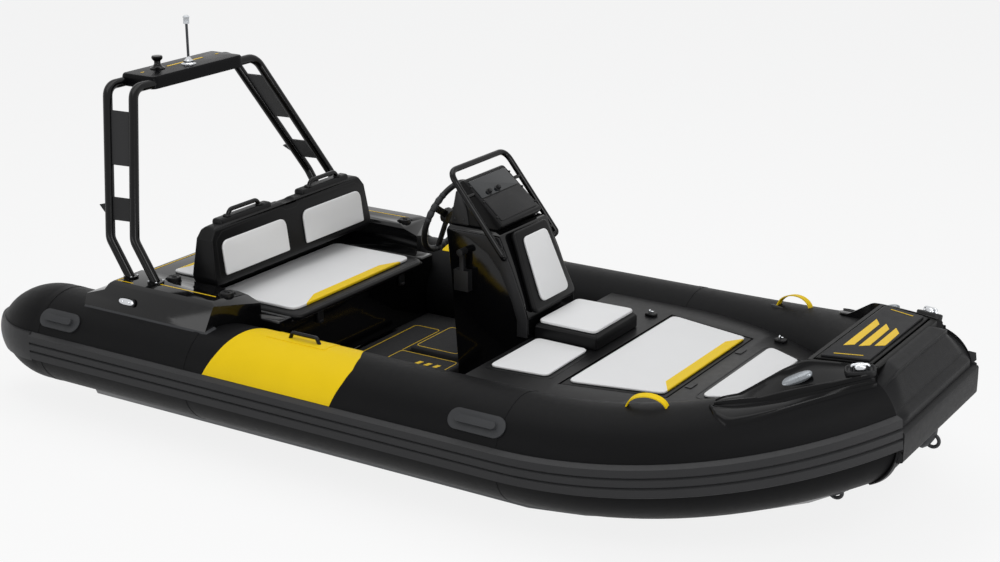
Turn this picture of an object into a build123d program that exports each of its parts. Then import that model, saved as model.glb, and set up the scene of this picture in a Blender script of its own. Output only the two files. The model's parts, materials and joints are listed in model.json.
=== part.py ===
"""Inflatable boat with an aluminium hull, seats, console, arch and jet drive.

Millimetres.  The origin is on the centreline, amidships, at the waterline;
+X points to the bow, +Y to port and +Z up.
"""
import os
from math import cos, radians, sin, tan

from build123d import *

os.makedirs("parts", exist_ok=True)

# ------------------------------------------------------------------ driving sizes
TUBE_R = 212.0
TUBE_Y, TUBE_Z = 723.0, 310.0
TUBE_AFT_X = -1740.0
TAIL_X = -2080.0
BOW_TUBE_X, BOW_TUBE_Z = 1773.0, 490.0
MITRE_X, MITRE_Y, MITRE_DEG = 1773.0, 295.5, 23.3
SKIN = 0.4

FLOOR_Z = 230.0
DECK_Z = 478.0
STERN_DECK_Z = 590.0
POD_TOP_Z = 620.0
BENCH_TOP_Z = 515.0
BOW_TOP_Z = 735.0
PAD_H = 15.0

# the side tubes run straight to TURN_X, then bend in one tilted plane
TURN_X, TURN_R, TURN_SPAN = 650.0, 1593.0, 50.0
TURN_TILT = radians(22.67)


def tube_run(side, section, mode=Mode.ADD):
    """Carry a section drawn at TURN_X aft along the tube and forward round its bend."""
    extrude(section, amount=TUBE_AFT_X - TURN_X, mode=mode)
    across, up = side * cos(TURN_TILT) * TURN_R, sin(TURN_TILT) * TURN_R
    centre = (TURN_X, side * TUBE_Y - across, TUBE_Z + up)
    about = (0, -sin(TURN_TILT), -side * cos(TURN_TILT))
    revolve(section, axis=Axis(centre, about), revolution_arc=TURN_SPAN, mode=mode)


def side_tube(side, radius, mode=Mode.ADD):
    """One side tube of the given radius, past the bow corner."""
    with BuildSketch(Plane.YZ.offset(TURN_X)) as ring:
        with Locations((side * TUBE_Y, TUBE_Z)):
            Circle(radius)
    tube_run(side, ring.sketch, mode)


def bow_tube(radius, mode=Mode.ADD):
    """Cross tube at the bow."""
    with BuildSketch(Plane.XZ.offset(-520)) as ring:
        with Locations((BOW_TUBE_X, BOW_TUBE_Z)):
            Circle(radius)
    extrude(ring.sketch, amount=1040, mode=mode)


def tail(side, grow, mode=Mode.ADD):
    """Rounded stern end of one side tube."""
    r, back = TUBE_R + grow, TAIL_X - grow
    with BuildSketch(Plane(origin=(0, side * TUBE_Y, TUBE_Z))) as half:
        with BuildLine():
            Line((TUBE_AFT_X, 0), (TUBE_AFT_X, r))
            ThreePointArc((TUBE_AFT_X, r), (TUBE_AFT_X - 232, r * 0.72), (back, 46))
            Line((back, 46), (back, 0))
            Line((back, 0), (TUBE_AFT_X, 0))
        make_face()
    axis = Axis((0, side * TUBE_Y, TUBE_Z), (1, 0, 0))
    revolve(half.sketch, axis=axis, mode=mode)


def mitre(side, keep, gap):
    """Corner plane between side tube and bow tube, moved by the gap."""
    a = radians(MITRE_DEG)
    normal = Vector(-sin(a), side * cos(a), 0)
    origin = Vector(MITRE_X, side * MITRE_Y, 0) + normal * gap
    split(bisect_by=Plane(origin=origin, z_dir=normal), keep=keep)


def cut_tubes(grow):
    """Clear the room of all the buoyancy tubes from the part being made."""
    for side in (-1, 1):
        side_tube(side, TUBE_R + grow, mode=Mode.SUBTRACT)
    bow_tube(TUBE_R + grow, mode=Mode.SUBTRACT)


def bent_path(points, bend):
    """Straight runs joined by arcs of one bend radius."""
    pts = [Vector(*p) for p in points]
    with BuildLine() as path:
        start = pts[0]
        for a, b, c in zip(pts, pts[1:], pts[2:]):
            u, v = (a - b).normalized(), (c - b).normalized()
            half = radians(u.get_angle(v)) / 2
            p1, p2 = b + u * (bend / tan(half)), b + v * (bend / tan(half))
            mid = b + (u + v).normalized() * (bend / sin(half) - bend)
            Line(start, p1)
            ThreePointArc(p1, mid, p2)
            start = p2
        Line(start, pts[-1])
    return path


def pipe(points, radius, bend):
    """Round bar along bent_path."""
    path = bent_path(points, bend)
    first, second = Vector(*points[0]), Vector(*points[1])
    with BuildSketch(Plane(origin=first, z_dir=second - first)) as ring:
        Circle(radius)
    sweep(ring.sketch, path=path.wires()[0])


def block(x, y, z, mode=Mode.ADD):
    """Box between the three pairs of limits."""
    with Locations(((x[0] + x[1]) / 2, (y[0] + y[1]) / 2, (z[0] + z[1]) / 2)):
        Box(x[1] - x[0], y[1] - y[0], z[1] - z[0], mode=mode)


def prism_xz(points, y, mode=Mode.ADD):
    """Side outline in x, z carried across between two y limits."""
    with BuildSketch(Plane.XZ.offset(-y[1])) as outline:
        with BuildLine():
            Polyline(*points, close=True)
        make_face()
    extrude(outline.sketch, amount=y[1] - y[0], mode=mode)


def prism_xy(points, z, mode=Mode.ADD):
    """Plan outline carried up between two z limits."""
    with BuildSketch(Plane.XY.offset(z[0])) as outline:
        with BuildLine():
            Polyline(*points, close=True)
        make_face()
    extrude(outline.sketch, amount=z[1] - z[0], mode=mode)


def both_sides(points):
    """Half plan outline (y >= 0) closed by its mirror image."""
    return points + [(x, -y) for x, y in reversed(points)]


def cushion(points, z, height, corner, crown=5.0):
    """Cushion on a plan outline, rounded at its corners and top edge."""
    with BuildSketch(Plane.XY.offset(z)) as outline:
        with BuildLine():
            Polyline(*points, close=True)
        make_face()
        fillet(outline.vertices(), corner)
    extrude(outline.sketch, amount=height)
    fillet(faces().sort_by(Axis.Z)[-1].edges(), crown)


def save(part, name):
    """Label one sub-part and write its file."""
    part.label = name
    export_step(part, f"parts/{name}.step")


# ------------------------------------------------------------------ hull
# sections: x, then keel, chine, side, top edge as y, z
HULL = [
    (-1680, (0, -190), (610, -40), (655, 50), (560, 215)),
    (600, (0, -190), (600, -30), (650, 55), (560, 215)),
    (1050, (0, -150), (520, 30), (585, 110), (480, 240)),
    (1400, (0, -60), (400, 125), (465, 200), (360, 330)),
    (1660, (0, 90), (245, 225), (300, 290), (230, 350)),
    (1850, (0, 262), (95, 300), (110, 330), (80, 370)),
]
with BuildPart() as hull:
    for x, keel, chine, flank, rim in HULL:
        with BuildSketch(Plane.YZ.offset(x)):
            with BuildLine():
                half = [keel, chine, flank, rim]
                Polyline(*half, *[(-y, z) for y, z in reversed(half[1:])], close=True)
            make_face()
    loft(ruled=True)
    block((-1700, 1900), (-700, 700), (FLOOR_Z - 15, 420), mode=Mode.SUBTRACT)
    cut_tubes(1.0)
    block((-1125, -640), (-260, 260), (-95, 240), mode=Mode.SUBTRACT)
    block((-1500, -1150), (-110, 110), (-200, -110), mode=Mode.SUBTRACT)
save(hull.part, "hull")

# seven bars, each held at its ends by the pump's inlet under the hull
with BuildPart() as intake_grate:
    for i in range(7):
        y = -96 + 32 * i
        block((-1499.6, -1150.4), (y - 5, y + 5), (-158, -146))
save(intake_grate.part, "intake_grate")

# ------------------------------------------------------------------ buoyancy tubes
for side, word in ((-1, "starboard"), (1, "port")):
    with BuildPart() as tube_side:
        side_tube(side, TUBE_R)
        mitre(side, Keep.TOP, 0.2)
        tail(side, 0)
    save(tube_side.part, f"tube_{word}")

with BuildPart() as tube_bow:
    bow_tube(TUBE_R)
    mitre(1, Keep.BOTTOM, -0.2)
    mitre(-1, Keep.BOTTOM, -0.2)
save(tube_bow.part, "tube_bow")

# rub strake section, outboard and up from the tube's centre
STRAKE = [
    (180, -64), (206, -64), (229, -53), (229, -24), (221, -18), (229, -12),
    (229, 12), (221, 18), (229, 24), (229, 53), (206, 64), (180, 64),
]
for side, word in ((-1, "starboard"), (1, "port")):
    with BuildPart() as strake:
        tail(side, 17)
        tail(side, 0.4, mode=Mode.SUBTRACT)
        block((-2200, TUBE_AFT_X), (-1100, 1100), (TUBE_Z - 64, TUBE_Z + 64), mode=Mode.INTERSECT)
        with BuildSketch(Plane.YZ.offset(TURN_X)) as band:
            with BuildLine():
                Polyline(*[(side * (TUBE_Y + y), TUBE_Z + z) for y, z in STRAKE], close=True)
            make_face()
        tube_run(side, band.sketch)
        side_tube(side, TUBE_R + 0.4, mode=Mode.SUBTRACT)
        mitre(side, Keep.TOP, 0.4)
    save(strake.part, f"strake_{word}")

with BuildPart() as strake_bow:
    nose = [(BOW_TUBE_X + out, BOW_TUBE_Z + up) for out, up in STRAKE]
    prism_xz(nose, (-520, 520))
    bow_tube(TUBE_R + 0.4, mode=Mode.SUBTRACT)
    mitre(1, Keep.BOTTOM, -0.4)
    mitre(-1, Keep.BOTTOM, -0.4)
save(strake_bow.part, "strake_bow")


def on_tube(x, side, tilt):
    """Plane lying on the straight tube's skin, tilted up from level."""
    a = radians(tilt)
    outward = (0, side * cos(a), sin(a))
    at = (x, side * (TUBE_Y + TUBE_R * cos(a)), TUBE_Z + TUBE_R * sin(a))
    return Plane(origin=at, x_dir=(1, 0, 0), z_dir=outward)


# oval carrying handles on the tubes' flanks: x, length of the patch
with BuildPart() as tube_handles:
    for side in (-1, 1):
        for x, length in ((-1600, 225), (545, 250)):
            with BuildSketch(on_tube(x, side, 38).offset(-9)) as oval:
                SlotOverall(length, 84)
            extrude(oval.sketch, amount=15)
            with BuildSketch(on_tube(x, side, 38).offset(5)) as grip:
                SlotOverall(length - 70, 30)
            extrude(grip.sketch, amount=17)
            with BuildSketch(on_tube(x, side, 38).offset(9)) as gap:
                Rectangle(length - 130, 60)
            extrude(gap.sketch, amount=7, mode=Mode.SUBTRACT)
        side_tube(side, TUBE_R + 0.4, mode=Mode.SUBTRACT)
save(tube_handles.part, "tube_handles")

# arched handles on the tubes' tops: x limits, y, top z, bar radius
with BuildPart() as top_grips:
    for side in (-1, 1):
        y = side * 712
        ends = [(-480, y, 510), (-462, y, 549), (-338, y, 549), (-320, y, 510)]
        pipe(ends, 8, 14)
        side_tube(side, TUBE_R + 0.4, mode=Mode.SUBTRACT)
save(top_grips.part, "top_grips")

with BuildPart() as strap_handles:
    for side in (-1, 1):
        y = side * 655
        ends = [(1052, side * 668, 535), (1082, y, 590), (1172, y, 600), (1206, side * 640, 545)]
        pipe(ends, 9, 30)
        side_tube(side, TUBE_R + 0.4, mode=Mode.SUBTRACT)
save(strap_handles.part, "strap_handles")

# towing rings under the bow: x, y, z of the patch, then its outward direction
TOWING = [
    (1956, 0, 383, (0.864, 0, -0.504)),
    (1733, -328, 255, (0.19, 0.17, -0.967)),
    (1733, 328, 255, (0.19, -0.17, -0.967)),
]
with BuildPart() as towing_rings:
    for x, y, z, out in TOWING:
        seat = Plane(origin=(x, y, z), x_dir=(0, 1, 0), z_dir=out)
        with BuildSketch(seat.offset(-30)) as disc:
            Circle(40)
        extrude(disc.sketch, amount=38)
        with Locations(Plane(origin=seat.offset(24).origin, z_dir=seat.x_dir)):
            Torus(24, 7)
    side_tube(-1, TUBE_R + 0.4, mode=Mode.SUBTRACT)
    side_tube(1, TUBE_R + 0.4, mode=Mode.SUBTRACT)
    bow_tube(TUBE_R + 0.4, mode=Mode.SUBTRACT)
save(towing_rings.part, "towing_rings")

# ------------------------------------------------------------------ jet drive at the transom
JET_Z = -60.0
NOZZLE_X = -1850.0
with BuildPart() as jet_housing:
    block((-1716, -1680.4), (-170, 170), (-165, 90))
    with BuildSketch(Plane.YZ.offset(-1815)) as bowl:
        with Locations((0, JET_Z)):
            Circle(60)
    extrude(bowl.sketch, amount=110, taper=-16)
    for side in (-1, 1):
        z = JET_Z + side * 91
        block((-1874, -1700), (-24, 24), (z - 6, z + 6))
        with Locations((NOZZLE_X, 0, z)):
            Cylinder(9, 20, mode=Mode.SUBTRACT)
    with BuildSketch(Plane.YZ.offset(-1816)) as bore:
        with Locations((0, JET_Z)):
            Circle(46)
    extrude(bore.sketch, amount=70, mode=Mode.SUBTRACT)
save(jet_housing.part, "jet_housing")

with BuildPart() as jet_nozzle:
    with BuildSketch(Plane.YZ.offset(-1848)) as mouth:
        with Locations((0, JET_Z)):
            Circle(72)
    with BuildSketch(Plane.YZ.offset(-1962)) as outlet:
        with Locations((0, JET_Z)):
            Circle(54)
    loft(sections=[outlet.sketch.face(), mouth.sketch.face()])
    with Locations((NOZZLE_X, 0, JET_Z)):
        Cylinder(8, 2 * 96)
    with Locations(Location((-1890, 0, JET_Z), (90, 0, 0))):
        Cylinder(8, 2 * 92)
    with BuildSketch(Plane.YZ.offset(-1964)) as bore:
        with Locations((0, JET_Z)):
            Circle(45)
    extrude(bore.sketch, amount=130, mode=Mode.SUBTRACT)
save(jet_nozzle.part, "jet_nozzle")

BUCKET_X = -1890.0


def sector(radius, y, mode=Mode.ADD, spread=(18, 82)):
    """Slice of a disc about the bucket's pivot, between two angles."""
    low, high = (radians(a) for a in spread)
    mid = (low + high) / 2
    rim = [(BUCKET_X - radius * cos(a), JET_Z + radius * sin(a)) for a in (low, mid, high)]
    with BuildSketch(Plane.XZ.offset(-y)) as slice_:
        with BuildLine():
            Line((BUCKET_X, JET_Z), rim[0])
            ThreePointArc(*rim)
            Line(rim[2], (BUCKET_X, JET_Z))
        make_face()
    extrude(slice_.sketch, amount=2 * y, mode=mode)


with BuildPart() as reverse_bucket:
    sector(120, 88)
    with Locations(Location((BUCKET_X, 0, JET_Z), (90, 0, 0))):
        Cylinder(20, 176)
        Cylinder(112, 160, mode=Mode.SUBTRACT)
        Cylinder(9, 200, mode=Mode.SUBTRACT)
save(reverse_bucket.part, "reverse_bucket")

with BuildPart() as drive_unit:
    block((-1095, -690), (-210, 210), (-90, 190))
save(drive_unit.part, "drive_unit")

# ------------------------------------------------------------------ cockpit floor and steps
with BuildPart() as floor_liner:
    block((-1650, 1290), (-530, 530), (FLOOR_Z - 14.5, FLOOR_Z))
    cut_tubes(1.5)
    block((-1125, -640), (-260, 260), (200, 240), mode=Mode.SUBTRACT)
save(floor_liner.part, "floor_liner")

# raised steps between bench and console: x limits, y limits, top z
STEPS = [
    ((-352, -68), (-50, 258), 306),
    ((-400, -68), (-300, -56), 286),
    ((-590, -420), (-330, 330), 252),
]
with BuildPart() as floor_steps:
    for x, y, top in STEPS:
        block(x, y, (FLOOR_Z + 0.3, top))
        chamfer(faces().filter_by_position(Axis.Z, top - 1, top + 1).edges(), 8)
save(floor_steps.part, "floor_steps")

# ------------------------------------------------------------------ stern deck, side pods, bench
STERN_SIDE = [
    (-1492, FLOOR_Z + 0.4), (-1478, 560), (-1462, 582), (-1440, STERN_DECK_Z),
    (-1131, STERN_DECK_Z), (-1131, FLOOR_Z + 0.4),
]
with BuildPart() as stern_deck:
    prism_xz(STERN_SIDE, (-566, 566))
    cut_tubes(1.5)
save(stern_deck.part, "stern_deck")

with BuildPart() as stern_cushion:
    outline = [(-1322, 470), (-1190, 470), (-1190, -470), (-1322, -470)]
    cushion(outline, STERN_DECK_Z + 0.4, 18, 20)
save(stern_cushion.part, "stern_cushion")

# pod section (y, z) and side outline (x, z)
POD_SECTION = [(567, 380), (567, 606), (582, POD_TOP_Z), (752, POD_TOP_Z), (772, 606), (815, 497),
               (700, 380)]
POD_SIDE = [(-1528, 380), (-1528, 552), (-1462, 572), (-1432, 582), (-1412, 612), (-1400, POD_TOP_Z),
            (-852, POD_TOP_Z), (-820, 608), (-640, 545), (-560, 515), (-560, 380)]
for side, word in ((-1, "starboard"), (1, "port")):
    with BuildPart() as side_pod:
        with BuildSketch(Plane.YZ.offset(-1600)) as section:
            with BuildLine():
                Polyline(*[(side * y, z) for y, z in POD_SECTION], close=True)
            make_face()
        extrude(section.sketch, amount=1200)
        prism_xz(POD_SIDE, (-900, 900), mode=Mode.INTERSECT)
        near = [(-840, 820), (-560, 700), (-500, 700), (-500, 900), (-840, 900)]
        prism_xy([(x, side * y) for x, y in near], (300, 700), mode=Mode.SUBTRACT)
        side_tube(side, TUBE_R + 0.5, mode=Mode.SUBTRACT)
        tail(side, 0.5, mode=Mode.SUBTRACT)
        for x, y in ((-1196, 600), (-865, 640)):
            with Locations((x, side * y, POD_TOP_Z)):
                Cylinder(38, 12, mode=Mode.SUBTRACT)
    save(side_pod.part, f"side_pod_{word}")

with BuildPart() as pod_caps:
    for side in (-1, 1):
        for x, y in ((-1196, 600), (-865, 640)):
            with Locations((x, side * y, POD_TOP_Z + 0.8)):
                Cylinder(30, 13)
        flank = Plane(origin=(-1290, side * 794, 553), x_dir=(1, 0, 0), z_dir=(0, side * 0.93, 0.367))
        with BuildSketch(flank.offset(1)) as oval:
            SlotOverall(96, 34)
        extrude(oval.sketch, amount=7)
save(pod_caps.part, "pod_caps")

with BuildPart() as bench_base:
    block((-1130.5, -655), (-566, 566), (FLOOR_Z + 0.4, 512))
    block((-1200, -600), (-476, 476), (494, 540), mode=Mode.SUBTRACT)
    block((-1110, -675), (-440, 440), (200, 520), mode=Mode.SUBTRACT)
    cut_tubes(1.5)
save(bench_base.part, "bench_base")

LID_SIDE = [(-1124, 500), (-650, 500), (-635, 486), (-628, 500), (-634, BENCH_TOP_Z), (-1124, BENCH_TOP_Z)]
with BuildPart() as bench_lid:
    prism_xz(LID_SIDE, (-470, 470))
save(bench_lid.part, "bench_lid")

with BuildPart() as bench_cushion:
    outline = [(-1116, 425), (-682, 425), (-682, -425), (-1116, -425)]
    cushion(outline, BENCH_TOP_Z + 0.3, 20, 35)
save(bench_cushion.part, "bench_cushion")

# ------------------------------------------------------------------ backrest
REST_SIDE = [(-1004, 600), (-1000, 622), (-1030, 838), (-1048, 850), (-1085, 850), (-1108, 832),
             (-1134, 620), (-1128, 600)]
REST_FRONT = [(-545, 600), (-555, 640), (-540, 800), (-505, 845), (-470, 850), (-60, 862), (-30, 840),
              (30, 840), (60, 862), (470, 850), (505, 845), (540, 800), (555, 640), (545, 600)]
REST_TILT = 7.9
with BuildPart() as backrest_shell:
    prism_xz(REST_SIDE, (-560, 560))
    with BuildSketch(Plane.YZ.offset(-1200)) as front:
        with BuildLine():
            Polyline(*REST_FRONT, close=True)
        make_face()
    extrude(front.sketch, amount=300, mode=Mode.INTERSECT)
save(backrest_shell.part, "backrest_shell")

with BuildPart() as backrest_pads:
    a = radians(REST_TILT)
    face = Plane(origin=(-1012.0, 0, 712), x_dir=(0, 1, 0), z_dir=(cos(a), 0, sin(a)))
    for side in (-1, 1):
        with BuildSketch(face) as panel:
            with Locations((side * 275, 0)):
                RectangleRounded(428, 150, 30)
        extrude(panel.sketch, amount=14)
save(backrest_pads.part, "backrest_pads")

with BuildPart() as backrest_handles:
    for side in (-1, 1):
        low, high = side * 180, side * 380
        pipe([(-1066, low, 862), (-1066, low, 892), (-1066, high, 892), (-1066, high, 862)], 9, 16)
    block((-1300, -900), (-600, 600), (700, 861), mode=Mode.SUBTRACT)
save(backrest_handles.part, "backrest_handles")

with BuildPart() as backrest_struts:
    for side in (-1, 1):
        y = side * 300
        block((-1186, -1136.5), (y - 20, y + 20), (STERN_DECK_Z + 0.4, 598))
        block((-1144.5, -1136.5), (y - 20, y + 20), (STERN_DECK_Z + 0.4, 640))
save(backrest_struts.part, "backrest_struts")

# ------------------------------------------------------------------ arch, mast and bollard
ARCH_R = 21.0
FOOT_Z = POD_TOP_Z + 0.4
# starboard leg of each hoop from its foot up: x, y, z
FRONT_LEG = [(-1225, -682, FOOT_Z), (-1335, -679, 787), (-1546, -408, 1374)]
REAR_LEG = [(-1372, -682, FOOT_Z), (-1473, -682, 780), (-1700, -408, 1370)]


def hoop(leg):
    """Arch tube up one leg, across and down the other."""
    pipe(leg + [(x, -y, z) for x, y, z in reversed(leg)], ARCH_R, 75)
    block((-1600, -1100), (-800, 800), (FOOT_Z - 40, FOOT_Z), mode=Mode.SUBTRACT)


with BuildPart() as arch_front_hoop:
    hoop(FRONT_LEG)
    for side in (-1, 1):
        with Locations((-1225, side * 682, FOOT_Z + 4)):
            Cylinder(36, 8)
save(arch_front_hoop.part, "arch_front_hoop")

with BuildPart() as arch_rear_hoop:
    hoop(REAR_LEG)
    for side in (-1, 1):
        with Locations((-1368, side * 682, FOOT_Z + 4)):
            Cylinder(32, 8)
save(arch_rear_hoop.part, "arch_rear_hoop")


def leg_web(side, low, high, horn):
    """Flat web between the two legs, from one share of their height to another."""
    f0, f1 = Vector(*FRONT_LEG[1]), Vector(*FRONT_LEG[2])
    r0, r1 = Vector(*REAR_LEG[1]), Vector(*REAR_LEG[2])
    flip = lambda v: Vector(v.X, -side * v.Y, v.Z)
    corners = []
    for share, inner in ((low, f0), (high, f0), (high, r0), (low, r0)):
        top = f1 if inner is f0 else r1
        corners.append(flip(inner + (top - inner) * share))
    across = (corners[3] - corners[0]).normalized()
    along = (corners[1] - corners[0]).normalized()
    plane = Plane(origin=corners[0], x_dir=across, z_dir=across.cross(along))
    flat = [plane.to_local_coords(c) for c in corners]
    lean = (flat[2].X - flat[3].X) / (flat[2].Y - flat[3].Y)
    inset = (ARCH_R + 0.4) * (1 + lean * lean) ** 0.5
    points = [(flat[0].X + inset, flat[0].Y), (flat[1].X + inset, flat[1].Y),
              (flat[2].X - inset, flat[2].Y), (flat[3].X - inset, flat[3].Y)]
    with BuildSketch(plane.offset(-4)) as web:
        with BuildLine():
            Polyline(*points, close=True)
        make_face()
    extrude(web.sketch, amount=8)
    if horn:
        tip = [(flat[3].X + inset + lean * 24, flat[3].Y + 24), (flat[3].X + inset + 52, flat[3].Y + 58),
               (flat[3].X + inset + lean * 66, flat[3].Y + 66)]
        with BuildSketch(plane.offset(-5)) as wedge:
            with BuildLine():
                Polyline(*tip, close=True)
            make_face()
        extrude(wedge.sketch, amount=10)


with BuildPart() as arch_panels:
    for side in (-1, 1):
        leg_web(side, 0.48, 0.84, False)
save(arch_panels.part, "arch_panels")

with BuildPart() as arch_brackets:
    for side in (-1, 1):
        leg_web(side, 0.12, 0.27, True)
save(arch_brackets.part, "arch_brackets")

ROOF_Z = 1374 + ARCH_R + 0.5
with BuildPart() as arch_roof:
    outline = both_sides([(-1722, 300), (-1706, 318), (-1548, 318), (-1532, 300)])
    prism_xy(outline, (ROOF_Z, ROOF_Z + 12))
    block((-1672, -1574), (-300, 300), (ROOF_Z - 24, ROOF_Z + 1))
save(arch_roof.part, "arch_roof")

with BuildPart() as light_mast:
    with Locations((-1590, 0, ROOF_Z + 12.4 + 8)):
        Cylinder(24, 16)
    with Locations((-1590, 0, ROOF_Z + 110)):
        Cylinder(6, 190)
    with Locations((-1590, 0, ROOF_Z + 212)):
        Cylinder(13, 30)
save(light_mast.part, "light_mast")

with BuildPart() as tow_bollard:
    with Locations((-1640, -150, ROOF_Z + 12.4 + 3)):
        Cylinder(30, 6)
    with Locations((-1640, -150, ROOF_Z + 12.4 + 26)):
        Cylinder(13, 52)
    with Locations((-1640, -150, ROOF_Z + 12.4 + 50)):
        Cylinder(24, 12)
save(tow_bollard.part, "tow_bollard")

# ------------------------------------------------------------------ console and helm
CONSOLE_Y = (-105, 260)
CONSOLE_SIDE = [
    (-62, FLOOR_Z + 0.4), (-96, 700), (-118, 880), (-108, 905), (118, 905), (146, 897),
    (205, 770), (258, 640), (283, 565), (283, FLOOR_Z + 0.4),
]
with BuildPart() as console_body:
    prism_xz(CONSOLE_SIDE, CONSOLE_Y)
    block((-500, -50), (-45, 200), (200, 306.6), mode=Mode.SUBTRACT)
    chamfer(edges().filter_by(Axis.Z, reverse=True).group_by(Axis.Z)[-1].filter_by(Axis.X), 12)
save(console_body.part, "console_body")

POD_BOX = [(-118, 905.4), (-76, 1082), (-58, 1095), (-44, 1094), (138, 938), (140, 925), (118, 905.4)]
with BuildPart() as instrument_box:
    prism_xz(POD_BOX, (-78, 232))
save(instrument_box.part, "instrument_box")

ARC_OUT = [(-96, 925), (60, 905), (146, 890), (205, 766), (258, 636), (282, 560), (282, 480)]
ARC_IN = [(232, 480), (232, 550), (205, 630), (150, 745), (90, 815), (0, 865), (-96, 890)]
with BuildPart() as console_strips:
    for y in ((CONSOLE_Y[0] - 8.4, CONSOLE_Y[0] - 0.4), (CONSOLE_Y[1] + 0.4, CONSOLE_Y[1] + 8.4)):
        prism_xz([(x, z) for x, z in ARC_OUT if z <= 900] + ARC_IN, y)
save(console_strips.part, "console_strips")

RAIL_Y = (-134, 289)
RAIL_TOP = (-80, 1143)
with BuildPart() as grab_rail:
    low, high = RAIL_Y
    ends = [(176, low, 826), (RAIL_TOP[0], low, RAIL_TOP[1]), (RAIL_TOP[0], high, RAIL_TOP[1]),
            (176, high, 826)]
    pipe(ends, 11, 45)
    for y, wall in ((low, CONSOLE_Y[0] - 9), (high, CONSOLE_Y[1] + 9)):
        middle, span = (y + wall) / 2, abs(wall - y)
        for x, z in ((160, 845), (30, 1006)):
            if z < 900:
                with Locations(Location((x, middle, z), (90, 0, 0))):
                    Cylinder(9, span)
    for y, wall in ((low, -78.5), (high, 232.5)):
        with Locations(Location((0, (y + wall) / 2, 1044), (90, 0, 0))):
            Cylinder(8, abs(wall - y))
save(grab_rail.part, "grab_rail")

WHEEL = (-235.0, 80.0, 880.0)
WHEEL_TILT = 20.0
WHEEL_R = 160.0
tilt = radians(WHEEL_TILT)
to_helm = (-cos(tilt), 0, sin(tilt))
wheel_plane = Plane(origin=WHEEL, x_dir=(0, 1, 0), z_dir=to_helm)
with BuildPart() as steering_column:
    with BuildSketch(wheel_plane.offset(-30)) as hub:
        Circle(30)
    extrude(hub.sketch, amount=-140)
    block((-117.6, 400), (-400, 400), (600, 1100), mode=Mode.SUBTRACT)
    with Locations((-128, 80, 832)):
        Box(20, 120, 110)
    block((-118.4, 400), (-400, 400), (600, 1100), mode=Mode.SUBTRACT)
save(steering_column.part, "steering_column")

with BuildPart() as steering_wheel:
    with Locations(wheel_plane):
        Torus(WHEEL_R, 13)
        Cylinder(34, 26)
    with BuildSketch(wheel_plane.offset(-5)) as spokes:
        with PolarLocations(WHEEL_R / 2, 3, start_angle=90):
            Rectangle(WHEEL_R - 12, 30)
    extrude(spokes.sketch, amount=10)
save(steering_wheel.part, "steering_wheel")

with BuildPart() as throttle:
    block((-60, 10), (CONSOLE_Y[0] - 34, CONSOLE_Y[0] - 0.5), (640, 730))
    block((-34, -14), (CONSOLE_Y[0] - 30, CONSOLE_Y[0] - 14), (720, 800))
    with Locations(Location((-24, CONSOLE_Y[0] - 22, 808), (90, 0, 0))):
        Cylinder(15, 44)
save(throttle.part, "throttle")

# cushion leaning on the console's front: lower and upper end of its face
FRONT_LOW, FRONT_HIGH = Vector(286, 0, 566), Vector(150, 0, 901)
lean = (FRONT_HIGH - FRONT_LOW).normalized()
front_face = Plane(origin=(FRONT_LOW + FRONT_HIGH) / 2 + Vector(0, 78, 0), x_dir=(0, 1, 0),
                   z_dir=Vector(0, 1, 0).cross(lean))
with BuildPart() as console_backrest:
    with BuildSketch(front_face.offset(4.5)) as shell:
        Trapezoid(330, 344, 84, 84)
        fillet(shell.vertices(), 26)
    extrude(shell.sketch, amount=26)
save(console_backrest.part, "console_backrest")

with BuildPart() as console_back_pad:
    with BuildSketch(front_face.offset(30.9)) as panel:
        Trapezoid(218, 276, 86, 86)
        fillet(panel.vertices(), 24)
    extrude(panel.sketch, amount=14)
save(console_back_pad.part, "console_back_pad")

# ------------------------------------------------------------------ foredeck with its seats and lockers
with BuildPart() as foredeck:
    block((286, 1290), (-620, 620), (FLOOR_Z + 0.4, DECK_Z))
    block((1290, 1560), (-560, 560), (386, DECK_Z))
    cut_tubes(1.5)
    prism_xy(both_sides([(645, 474), (1070, 384)]), (440, 500), mode=Mode.SUBTRACT)
    block((700, 1030), (-320, 320), (245, 445), mode=Mode.SUBTRACT)
save(foredeck.part, "foredeck")

with BuildPart() as seat_box:
    block((302, 594), (-88, 259), (DECK_Z + 0.4, 545))
    chamfer(faces().sort_by(Axis.Z)[-1].edges(), 12)
save(seat_box.part, "seat_box")

# foredeck cushions: name, half or whole outline, base z, height
with BuildPart() as seat_cushion:
    cushion([(312, 246), (584, 252), (584, -80), (312, -76)], 545.4, 20, 26)
save(seat_cushion.part, "seat_cushion")

with BuildPart() as side_cushion:
    cushion([(322, -94), (566, -102), (574, -437), (322, -461)], DECK_Z + 0.4, PAD_H, 26)
save(side_cushion.part, "side_cushion")

with BuildPart() as bow_cushion:
    cushion(both_sides([(1175, 314), (1335, 231)]), DECK_Z + 0.4, PAD_H, 24)
save(bow_cushion.part, "bow_cushion")

with BuildPart() as locker_lid:
    prism_xy(both_sides([(652, 466), (1063, 379)]), (462, DECK_Z))
save(locker_lid.part, "locker_lid")

with BuildPart() as locker_cushion:
    cushion(both_sides([(669, 444), (1046, 360)]), DECK_Z + 0.4, PAD_H, 26)
save(locker_cushion.part, "locker_cushion")

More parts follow.
